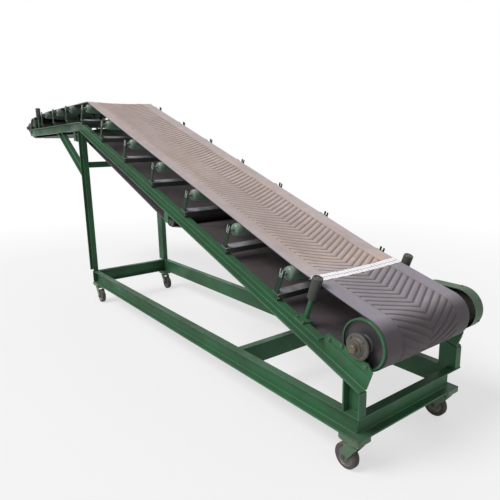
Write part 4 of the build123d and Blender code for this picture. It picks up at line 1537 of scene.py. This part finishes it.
@dataclass
class GuideRollers:
    """The vertical rollers at the belt's edges, on their stems."""

    layout: Layout
    radius: float = 0.027
    length: float = 0.120
    foot: float = 0.124
    across: float = 0.357

    def places(self) -> list[Matrix]:
        """Finds where the rollers stand.

        Returns:
            The foot of each roller, its Z axis up the roller.
        """
        lay, found = self.layout, []
        s, t = lay.tail_s - lay.guides_from_tail, lay.head_reach - lay.guides_from_head
        for y in (-self.across, self.across):
            found.append(facing(lay.on_incline(s, y, self.foot), lay.normal))
            found.append(Matrix.Translation(lay.on_level(t, y, self.foot)))
        return found

    def build(self, shop: Workshop) -> None:
        """Builds and dresses the rollers.

        Args:
            shop: Makes the finished pieces.
        """
        solids = Solids()
        r, h = self.radius, self.length
        profile = [(0, 0), (0, r - 0.004), (0.002, r - 0.001), (0.005, r), (h - 0.005, r),
                   (h - 0.002, r - 0.001), (h, r - 0.004), (h, 0.019), (h - 0.004, 0.018), (h - 0.004, 0.0)]
        for place in self.places():
            solids.lathe(place, profile, 40)
        shop.piece("guide_roller_set", solids, Finish.GUIDE, "frame_paint", "guide_rollers")


# Chain drive


@dataclass
class ChainDrive:
    """The roller chain and the toothed drum sprocket inside the guard."""

    layout: Layout
    drum_pitch_radius: float = 0.0893
    motor_pitch_radius: float = 0.0533
    pitch: float = 0.0254
    teeth: int = 23
    tooth_tip: float = 0.0905
    tooth_root: float = 0.0800
    tooth_width: float = 0.007
    hub: Pair = (0.006, 0.034)
    plate_radius: float = 0.0062
    plate_thickness: float = 0.0016

    def _centres(self) -> tuple[Vector, Vector]:
        """Finds both sprockets.

        Returns:
            The middles of the drum's and the motor's sprocket.
        """
        lay = self.layout
        y = lay.tail.y + lay.chain_plane
        return Vector((lay.tail.x, y, lay.tail.z)), Vector((lay.tail.x - lay.motor_back, y, lay.motor_height))

    def _path(self) -> list[Vector]:
        """Lays the chain round both sprockets.

        Returns:
            Its pins, evenly spaced.
        """
        (a, b), ra, rb = self._centres(), self.drum_pitch_radius, self.motor_pitch_radius
        run = b - a
        towards, lean = math.atan2(run.z, run.x), math.acos((ra - rb) / run.length)
        path: list[Vector] = []
        for centre, radius, start, sweep in ((a, ra, towards + lean, 2 * math.pi - 2 * lean),
                                             (b, rb, towards - lean, 2 * lean)):
            for angle in (start + sweep * step / 48 for step in range(49)):
                path.append(centre + Vector((math.cos(angle), 0, math.sin(angle))) * radius)
        path.append(path[0])
        lengths = [0.0]
        for before, after in zip(path, path[1:]):
            lengths.append(lengths[-1] + (after - before).length)
        count = 2 * round(lengths[-1] / self.pitch / 2)
        pins, index = [], 0
        for goal in (lengths[-1] * step / count for step in range(count)):
            while lengths[index + 1] < goal:
                index += 1
            share = (goal - lengths[index]) / (lengths[index + 1] - lengths[index])
            pins.append(path[index].lerp(path[index + 1], share))
        return pins

    def _link(self, reach: float, outer: bool) -> Solids:
        """Makes one link along Z: two plates, its pins and, on an inner link, its rollers.

        Args:
            reach: Distance between its pins.
            outer: Whether it is an outer link.

        Returns:
            The link, at the origin.
        """
        solids = Solids()
        flat = axes(Vector(), AXIS_Z, AXIS_X)
        outline = []
        for side in (1, -1):
            for angle in (-math.pi / 2 + math.pi * step / 6 for step in range(7)):
                outline.append((side * (reach / 2 + self.plate_radius * math.cos(angle)),
                                side * self.plate_radius * math.sin(angle)))
        gap, half, radius = (0.0065, 0.0085, 0.0026) if outer else (0.0045, 0.0036, 0.0050)
        for side in (-1, 1):
            sunk = side * gap - self.plate_thickness / 2
            solids.prism(flat @ Matrix.Translation((0, 0, sunk)), outline, self.plate_thickness)
        for end in (-reach / 2, reach / 2):
            solids.rod(flat @ Matrix.Translation((end, 0, -half)), 0, 2 * half, radius, 10)
        return solids

    def build(self, shop: Workshop) -> None:
        """Builds and dresses the chain and the sprocket.

        Args:
            shop: Makes the finished pieces.
        """
        pins = self._path()
        reach = (pins[1] - pins[0]).length
        for first, name, replaced in ((0, "chain_outer_links", ("drive_chain",)),
                                      (1, "chain_inner_links", ())):
            ends = [(pins[index], pins[(index + 1) % len(pins)]) for index in range(first, len(pins), 2)]
            rows = [((start + end) / 2, (end - start).normalized(), 1.0) for start, end in ends]
            shop.repeated(name, self._link(reach, first == 0), rows, Finish.CHAIN, "chain_steel", *replaced)
        sprocket, centre = Solids(), self._centres()[0]
        sprocket.prism(facing(centre - AXIS_Y * (self.tooth_width / 2), AXIS_Y),
                       toothed(self.teeth, self.tooth_tip, self.tooth_root), self.tooth_width)
        half, radius = self.hub
        sprocket.rod(facing(centre, AXIS_Y), -half, half, radius, 40)
        shop.piece("toothed_sprocket", sprocket, Finish.CHAIN, "chain_steel", "drum_sprocket")


@dataclass
class MotorUnit:
    """The geared motor behind the far stringer: gear head, finned housing, fan cowl and terminal box."""

    layout: Layout
    radius: float = 0.090
    core: float = 0.070
    length: float = 0.290
    shaft: float = 0.017
    fin: Triple = (0.0028, 0.122, 0.017)
    fin_count: int = 36
    fins_middle: float = 0.152
    bolt_circle: float = 0.0825
    teeth: int = 13
    tooth_tip: float = 0.0545
    tooth_root: float = 0.0440
    tooth_width: float = 0.007

    def _housing(self, place: Matrix) -> Solids:
        """Makes the gear head, the housing's core and the fan cowl with its ringed grille.

        Args:
            place: Middle of the gear head's face, Z towards the fan.

        Returns:
            The housing.
        """
        solids = Solids()
        r, core, end = self.radius, self.core, self.length
        solids.lathe(place, [(0, 0), (0, r), (0.010, r), (0.012, r - 0.002), (0.014, 0.074), (0.030, 0.077),
                             (0.074, 0.075), (0.078, 0.080), (0.086, 0.082), (0.088, 0.080), (0.090, core),
                             (0.216, core), (0.216, 0.0)], 56)
        cowl = [(0.212, 0.0), (0.212, r - 0.007), (0.216, r - 0.003), (0.268, r - 0.003),
                (end - 0.007, 0.080)]
        for sunk in (0.012 * groove for groove in range(5)):
            cowl += [(end, 0.068 - sunk), (end, 0.064 - sunk), (end - 0.004, 0.061 - sunk)]
        solids.lathe(place, [*cowl, (end - 0.004, 0.0)], 56)
        return solids

    def _terminal_box(self, start: Vector) -> Solids:
        """Makes the terminal box on the side of the housing, with its lid and cable gland.

        Args:
            start: Middle of the gear head's face.

        Returns:
            The box.
        """
        solids = Solids()
        side = facing(start + Vector((-self.core + 0.002, -0.130, 0)), -AXIS_X)
        solids.block(side, (0.070, 0.084, 0.026))
        solids.block(side @ Matrix.Translation((0, 0, 0.0265)), (0.076, 0.090, 0.006))
        gland = side @ Matrix.Translation((0.035, 0, 0.013)) @ Matrix.Rotation(math.pi / 2, 4, "Y")
        solids.lathe(gland, [(0, 0), (0, 0.011), (0.008, 0.011), (0.009, 0.009), (0.016, 0.008),
                             (0.016, 0)], 20)
        return solids

    def build(self, shop: Workshop) -> None:
        """Builds and dresses the motor, its fins, its bolts and its sprocket.

        Args:
            shop: Makes the finished pieces.
        """
        lay = self.layout
        start = Vector((lay.tail.x - lay.motor_back, lay.tail.y + lay.web_back, lay.motor_height))
        housing, box = self._housing(facing(start, -AXIS_Y)), self._terminal_box(start)
        shop.piece("motor_housing", housing, Finish.MOTOR, "motor_paint", "motor")
        shop.piece("motor_terminal_box", box.mesh("motor_terminal_box", bevel=0.002), Finish.MOTOR,
                   "motor_paint")
        fin = Solids()
        fin.block(Matrix.Identity(4), self.fin)
        beside_box = -0.84
        spokes = [Vector((x, 0, z)) for x, z in ring(self.fin_count, shift=0.5) if x > beside_box]
        foot = start - AXIS_Y * self.fins_middle
        rows = [(foot + out * (self.core - 0.001), out, 1.0) for out in spokes]
        shop.repeated("motor_fins", fin, rows, Finish.MOTOR, "motor_paint")
        bolts = [(start + Vector((x, -0.010, z)), -AXIS_Y, 0.50) for x, z in ring(6, self.bolt_circle, 0.5)]
        shop.repeated("motor_bolts", bolt_head(), bolts, Finish.BOLT, "motor_paint")
        drive, outwards, reach = Solids(), facing(start, AXIS_Y), lay.chain_plane - lay.web_back
        drive.rod(outwards, 0, reach + 0.006, self.shaft, 32)
        drive.prism(outwards @ Matrix.Translation((0, 0, reach - self.tooth_width / 2)),
                    toothed(self.teeth, self.tooth_tip, self.tooth_root), self.tooth_width)
        shop.piece("motor_shaft_sprocket", drive, Finish.CHAIN, "chain_steel")


# Castors


@dataclass
class Castors:
    """The castor wheels with rounded tyres, and the nuts on their axles."""

    layout: Layout
    radius: float = 0.065
    half_width: float = 0.019
    half_hub: float = 0.022
    tyre_inner: float = 0.047
    fork_face: float = 0.0285
    washer: Pair = (0.0015, 0.013)
    nut: Pair = (0.006, 0.0095)

    def _axle_nuts(self, middle: Vector) -> Solids:
        """Makes the washer, nut and axle end on each side of a fork.

        Args:
            middle: The wheel's middle.

        Returns:
            Both sets.
        """
        nuts = Solids()
        thick, washer_radius = self.washer
        for out in (-AXIS_Y, AXIS_Y):
            face = facing(middle + out * self.fork_face, out)
            nuts.rod(face, 0, thick, washer_radius, 24)
            nuts.prism(face @ Matrix.Translation((0, 0, thick)), ring(6, self.nut[1]), self.nut[0])
            nuts.lathe(face, [(0.007, 0), (0.007, 0.0055), (0.010, 0.005), (0.010, 0)], 16)
        return nuts

    def build(self, shop: Workshop) -> None:
        """Builds and dresses each wheel, its hub and its axle nuts.

        Args:
            shop: Makes the finished pieces.
        """
        r, w, hub, inner = self.radius, self.half_width, self.half_hub, self.tyre_inner
        tyre = mirrored([(-w + 0.001, inner), (-w, inner + 0.003), (-w, r - 0.008), (-w + 0.002, r - 0.003),
                         (-w + 0.006, r - 0.0005), (-0.004, r), (-0.003, r - 0.0012)])
        rim = mirrored([(-hub, 0.0), (-hub, 0.019), (-hub + 0.001, 0.020), (-w + 0.005, 0.021),
                        (-w + 0.006, 0.026), (-w + 0.006, 0.043), (-w + 0.001, 0.0465), (-w + 0.001, 0.0472)])
        for corner in CORNERS:
            wheel, fork = "wheel_" + corner, "fork_" + corner
            middle = middle_of(wheel)
            tyres, hubs = Solids(), Solids()
            tyres.lathe(facing(middle, AXIS_Y), [*tyre, tyre[0]], 64)
            hubs.lathe(facing(middle, AXIS_Y), rim, 64)
            shop.piece("tyre_" + corner, tyres, Finish.TYRE, "castor_tyre", wheel, body=wheel)
            shop.piece("hub_" + corner, hubs, Finish.HUB, "castor_steel", body=wheel)
            shop.piece("axle_nuts_" + corner, self._axle_nuts(middle), Finish.BOLT, "castor_steel", body=fork)


# Fasteners and welds


def bolt_head() -> Solids:
    """Makes a bolt head on its washer.

    Returns:
        The head, 18 mm across, standing on the origin.
    """
    solids, place = Solids(), Matrix.Identity(4)
    solids.rod(place, 0, 0.0018, 0.0125, 20)
    solids.prism(Matrix.Translation((0, 0, 0.0018)), ring(6, 0.0104), 0.0060)
    solids.lathe(place, [(0.0078, 0), (0.0078, 0.0088), (0.0090, 0.0068), (0.0090, 0)], 20)
    return solids


@dataclass
class Fasteners:
    """Hexagon bolts with washers wherever plates are bolted, as one repeated piece."""

    layout: Layout
    bearing_circle: float = 0.0525
    tail_plate: tuple[Pair, ...] = ((3.519, 0.030), (3.668, 0.030), (3.440, 0.012))
    head_plate: tuple[Pair, ...] = ((1.985, -0.040), (2.080, -0.040))
    angle_end: Triple = (0.383, 0.036, -0.004)
    bracket_foot: Triple = (0.398, 0.018, 0.025)
    splice: tuple[float, ...] = (0.128, 0.172, 0.254, 0.298)
    splice_y: float = 0.391
    guide_y: float = 0.398
    guide_spread: float = 0.024
    guide_top: float = 0.1105
    flange: float = 0.006
    castor_inset: Pair = (0.060, 0.045)
    castor_spread: Pair = (0.043, 0.032)
    guard_radius: float = 0.115
    guard_y: float = 0.474
    guard_screws: tuple[int, ...] = (-28, 32, 92)
    rows: list[Row] = field(default_factory=list)

    def _add(self, place: Vector, axis: Vector, size: float) -> None:
        """Adds one bolt to the list."""
        self.rows.append((place, axis, size))

    def _drive_plates(self) -> None:
        """Lists the bolts of the bearings and of both pairs of plates."""
        lay = self.layout
        for side in (-1, 1):
            out, web = AXIS_Y * side, side * lay.web_back
            for centre in (lay.tail, lay.head):
                for x, z in ring(4, self.bearing_circle, 0.5):
                    self._add(centre + Vector((x, web + side * lay.bearing_flange, z)), out, 0.62)
            for s, rise in self.tail_plate:
                self._add(lay.on_incline(s, web, rise), out, 0.95)
            for t, rise in self.head_plate:
                self._add(lay.on_level(t, web, rise), out, 0.85)

    def _idlers(self) -> None:
        """Lists the bolts at the ends of the cross angles and at the brackets' feet."""
        for place in self.layout.idler_places():
            up, down_slope = place.col[1].to_3d(), place.col[2].to_3d()
            kinds = ((self.angle_end, up, 0.75), (self.bracket_foot, down_slope, 0.70))
            for side in (-1, 1):
                for (y, rise, z), axis, size in kinds:
                    self._add(place @ Vector((side * y, rise, z)), axis, size)

    def _frame(self) -> None:
        """Lists the bolts of the splice plates, guide feet and castor plates."""
        lay = self.layout
        for side in (-1, 1):
            for s in self.splice:
                self._add(lay.on_incline(s, side * self.splice_y, self.flange), lay.normal, 0.75)
            for shift in (-self.guide_spread, self.guide_spread):
                s = lay.tail_s - lay.guides_from_tail + shift
                t = lay.head_reach - lay.guides_from_head + shift
                self._add(lay.on_incline(s, side * self.guide_y, self.flange), lay.normal, 0.75)
                self._add(lay.on_level(t, side * self.guide_y, self.flange), AXIS_Z, 0.75)
        low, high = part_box("castor_mounts")
        (inset_x, inset_y), (dx, dy) = self.castor_inset, self.castor_spread
        for x in (low.x + inset_x, high.x - inset_x):
            for y in (low.y + inset_y, high.y - inset_y):
                for shift_x, shift_y in ((-dx, -dy), (-dx, dy), (dx, -dy), (dx, dy)):
                    self._add(Vector((x + shift_x, y + shift_y, low.z)), -AXIS_Z, 0.70)

    def _guard(self) -> None:
        """Lists the screws round the guard's band."""
        for angle in map(math.radians, self.guard_screws):
            out = Vector((math.cos(angle), 0, math.sin(angle)))
            middle = self.layout.tail + AXIS_Y * self.guard_y
            self._add(middle + out * (self.guard_radius - 0.0004), out, 0.55)

    def build(self, shop: Workshop) -> None:
        """Builds and dresses the bolts.

        Args:
            shop: Makes the finished pieces.
        """
        for listed in (self._drive_plates, self._idlers, self._frame, self._guard):
            listed()
        for place in GuideRollers(self.layout).places():
            self._add(place @ (AXIS_Z * self.guide_top), place.col[2].to_3d(), 1.0)
        shop.repeated("frame_bolts", bolt_head(), self.rows, Finish.BOLT, "drum_steel", spin=1.0)


@dataclass
class Welds:
    """Weld beads at the joints of the frame."""

    layout: Layout
    radius: float = 0.0042
    pitch: float = 0.0040
    post_web: float = 0.0053
    rail_web: float = 0.0055
    mitre: float = 0.048
    brace_seam: Pair = (0.010, 0.105)
    rail_seam: Pair = (0.008, 0.104)

    def _seams(self) -> list[tuple[Vector, Vector]]:
        """Lists the seams of the frame.

        Returns:
            Both ends of each seam.
        """
        seams = []
        y = self.layout.tail.y
        for end in ("low", "high"):
            for side, name in SIDES:
                low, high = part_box(f"post_{end}_{name}")
                web, tip = y + side * self.layout.rail_back, y + side * self.layout.half_width
                seams += [(Vector((x, web, low.z)), Vector((x, tip, low.z))) for x in (low.x, high.x)]
                face = web + side * self.post_web
                seams.append((Vector((low.x, face, low.z)), Vector((high.x, face, low.z))))
        for side, name in SIDES:
            low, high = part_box("brace_" + name)
            tip = y + side * self.layout.half_width
            seams.append(tuple(Vector((high.x, tip, low.z + rise)) for rise in self.brace_seam))
            rail_low, rail_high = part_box("side_rail_" + name)
            foot, height = self.rail_seam
            corner = Vector((rail_high.x - self.mitre, y + side * (self.layout.rail_back + self.rail_web),
                             rail_low.z + foot))
            seams.append((corner, corner + AXIS_Z * height))
            outer = Vector((rail_high.x, tip, rail_high.z))
            seams.append((outer, outer - Vector((self.mitre, side * self.mitre, 0))))
        return seams

    def build(self, shop: Workshop) -> None:
        """Builds and dresses the beads.

        Args:
            shop: Makes the finished pieces.
        """
        points = [tuple(point) for seam in self._seams() for point in seam]
        base = bpy.data.meshes.new("weld_seams")
        base.from_pydata(points, [(index, index + 1) for index in range(0, len(points), 2)], [])
        data = Beads().run("weld_beads", base, shop.materials[Finish.FRAME], Radius=self.radius,
                           Pitch=self.pitch, Seed=BEAD_SEED)
        smooth(data, 80.0)
        shop.piece("weld_beads", data, Finish.FRAME, "frame_paint")


# Studio


def seen_share(graph: Graph, *rays: str) -> Socket:
    """Tells some kinds of ray from the others.

    Args:
        graph: The graph that it is for.
        rays: Outputs of the Light Path node.

    Returns:
        A socket that is 1 for those rays and 0 for the others.
    """
    path = graph.add("ShaderNodeLightPath").outputs
    seen = path[rays[0]]
    for ray in rays[1:]:
        seen = graph.math("MAXIMUM", seen, path[ray])
    return seen


@dataclass
class Studio:
    """Camera at the photograph's view, a pale floor that fades to white, and soft light."""

    layout: Layout
    lens: float = 34.4526
    yaw: float = math.radians(143.3827)
    pitch: float = math.radians(12.2767)
    roll: float = math.radians(-1.1821)
    from_base: Pair = (2.9847, -1.9297)
    height: float = 1.5159
    ambient: float = 0.46
    key: float = 2.75
    key_from: Triple = (-0.16, -0.66, 0.80)
    key_angle: float = math.radians(28.0)
    floor_reach: float = 60.0
    floor_sides: int = 96
    floor_tones: tuple[Colour, Colour] = ((0.62, 0.62, 0.62), (0.66, 0.66, 0.66))
    fade: Pair = (3.2, 6.5)
    white: Colour = (1.0, 1.0, 1.0)

    def camera(self) -> None:
        """Places the camera."""
        low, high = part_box("end_rail_high")[0].x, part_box("end_rail_low")[1].x
        place = ((low + high) / 2 + self.from_base[0], self.layout.tail.y + self.from_base[1], self.height)
        ahead = Vector((math.cos(self.yaw) * math.cos(self.pitch), math.sin(self.yaw) * math.cos(self.pitch),
                        -math.sin(self.pitch)))
        right = Vector((math.sin(self.yaw), -math.cos(self.yaw), 0))
        up = right.cross(ahead)
        turned = right * math.cos(self.roll) + up * math.sin(self.roll)
        stood = up * math.cos(self.roll) - right * math.sin(self.roll)
        data = bpy.data.cameras.new("photo_camera")
        data.lens, data.sensor_width, data.clip_end = self.lens, 36.0, 200.0
        camera = bpy.data.objects.new("photo_camera", data)
        rows = [(turned[i], stood[i], -ahead[i], place[i]) for i in range(3)]
        camera.matrix_world = Matrix((*rows, (0, 0, 0, 1)))
        bpy.context.scene.collection.objects.link(camera)
        bpy.context.scene.camera = camera

    def floor(self) -> None:
        """Adds the floor, pale where it takes the shadow and white further off."""
        low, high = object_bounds()
        middle = (low + high) / 2
        data = bpy.data.meshes.new("studio_floor")
        rim = [(middle.x + x, middle.y + y, 0.0) for x, y in ring(self.floor_sides, self.floor_reach)]
        data.from_pydata(rim, [], [tuple(range(self.floor_sides))])
        floor = bpy.data.objects.new("studio_floor", data)
        bpy.context.scene.collection.objects.link(floor)
        material, graph = new_graph("studio_floor_pale")
        vector = graph.out("ShaderNodeVectorMath", {0: graph.place(), 1: (-middle.x, -middle.y, 0.0)},
                           operation="ADD")
        distance = graph.out("ShaderNodeVectorMath", {0: vector}, "Value", operation="LENGTH")
        far = graph.span(distance, *self.fade)
        fine = graph.span(graph.noise(graph.place(), 5.0), 0.3, 0.7, 0.94, 1.0)
        pale = graph.out("ShaderNodeBsdfPrincipled", {"Base Color": graph.mix(fine, *self.floor_tones),
                                                      "Roughness": 0.8})
        white = graph.out("ShaderNodeEmission", {"Color": self.white, "Strength": 1.0})
        seen = seen_share(graph, "Is Camera Ray", "Is Glossy Ray")
        share = graph.times(graph.span(far, 0.0, 1.0, 0.62, 1.0), seen)
        mixed = graph.out("ShaderNodeMixShader", {0: share, 1: pale, 2: white})
        below = graph.out("ShaderNodeNewGeometry", pick="Backfacing")
        clear = graph.out("ShaderNodeBsdfTransparent")
        shown = graph.out("ShaderNodeMixShader", {0: below, 1: mixed, 2: clear})
        graph.add("ShaderNodeOutputMaterial", {"Surface": shown})
        data.materials.append(material)
        floor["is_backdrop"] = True

    def light(self) -> None:
        """Adds the plain soft world and the wide key light."""
        world = bpy.data.worlds.new("studio_world")
        bpy.context.scene.world = world
        world.use_nodes = True
        world.node_tree.nodes.clear()
        graph = Graph(world.node_tree)
        seen = seen_share(graph, "Is Camera Ray", "Is Glossy Ray", "Is Transmission Ray")
        strength = graph.span(seen, 0.0, 1.0, self.ambient, 1.0)
        shader = graph.out("ShaderNodeBackground", {"Color": self.white, "Strength": strength})
        graph.add("ShaderNodeOutputWorld", {"Surface": shader})
        data = bpy.data.lights.new("key_light", "SUN")
        data.energy, data.angle = self.key, self.key_angle
        lamp = bpy.data.objects.new("key_light", data)
        lamp.matrix_world = facing(Vector((0, 0, 6)), Vector(self.key_from).normalized())
        bpy.context.scene.collection.objects.link(lamp)

    def build(self) -> None:
        """Builds the whole studio."""
        self.camera()
        self.floor()
        self.light()
        bpy.context.scene.view_settings.view_transform = "Standard"


def main() -> None:
    """Builds the studio and each sub-assembly in order."""
    logging.basicConfig(level=logging.INFO, format="%(name)s: %(message)s")
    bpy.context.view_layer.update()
    layout = Layout()
    Studio(layout).build()
    shop = Workshop()
    shop.dress_nodes()
    for assembly in (BeltLoop, Rollers, ReturnRollers, DrumEnds, GuideRollers, ChainDrive, MotorUnit, Castors,
                     Fasteners, Welds):
        log.info("building %s", assembly.__name__)
        assembly(layout).build(shop)


if __name__ == "__main__":
    main()
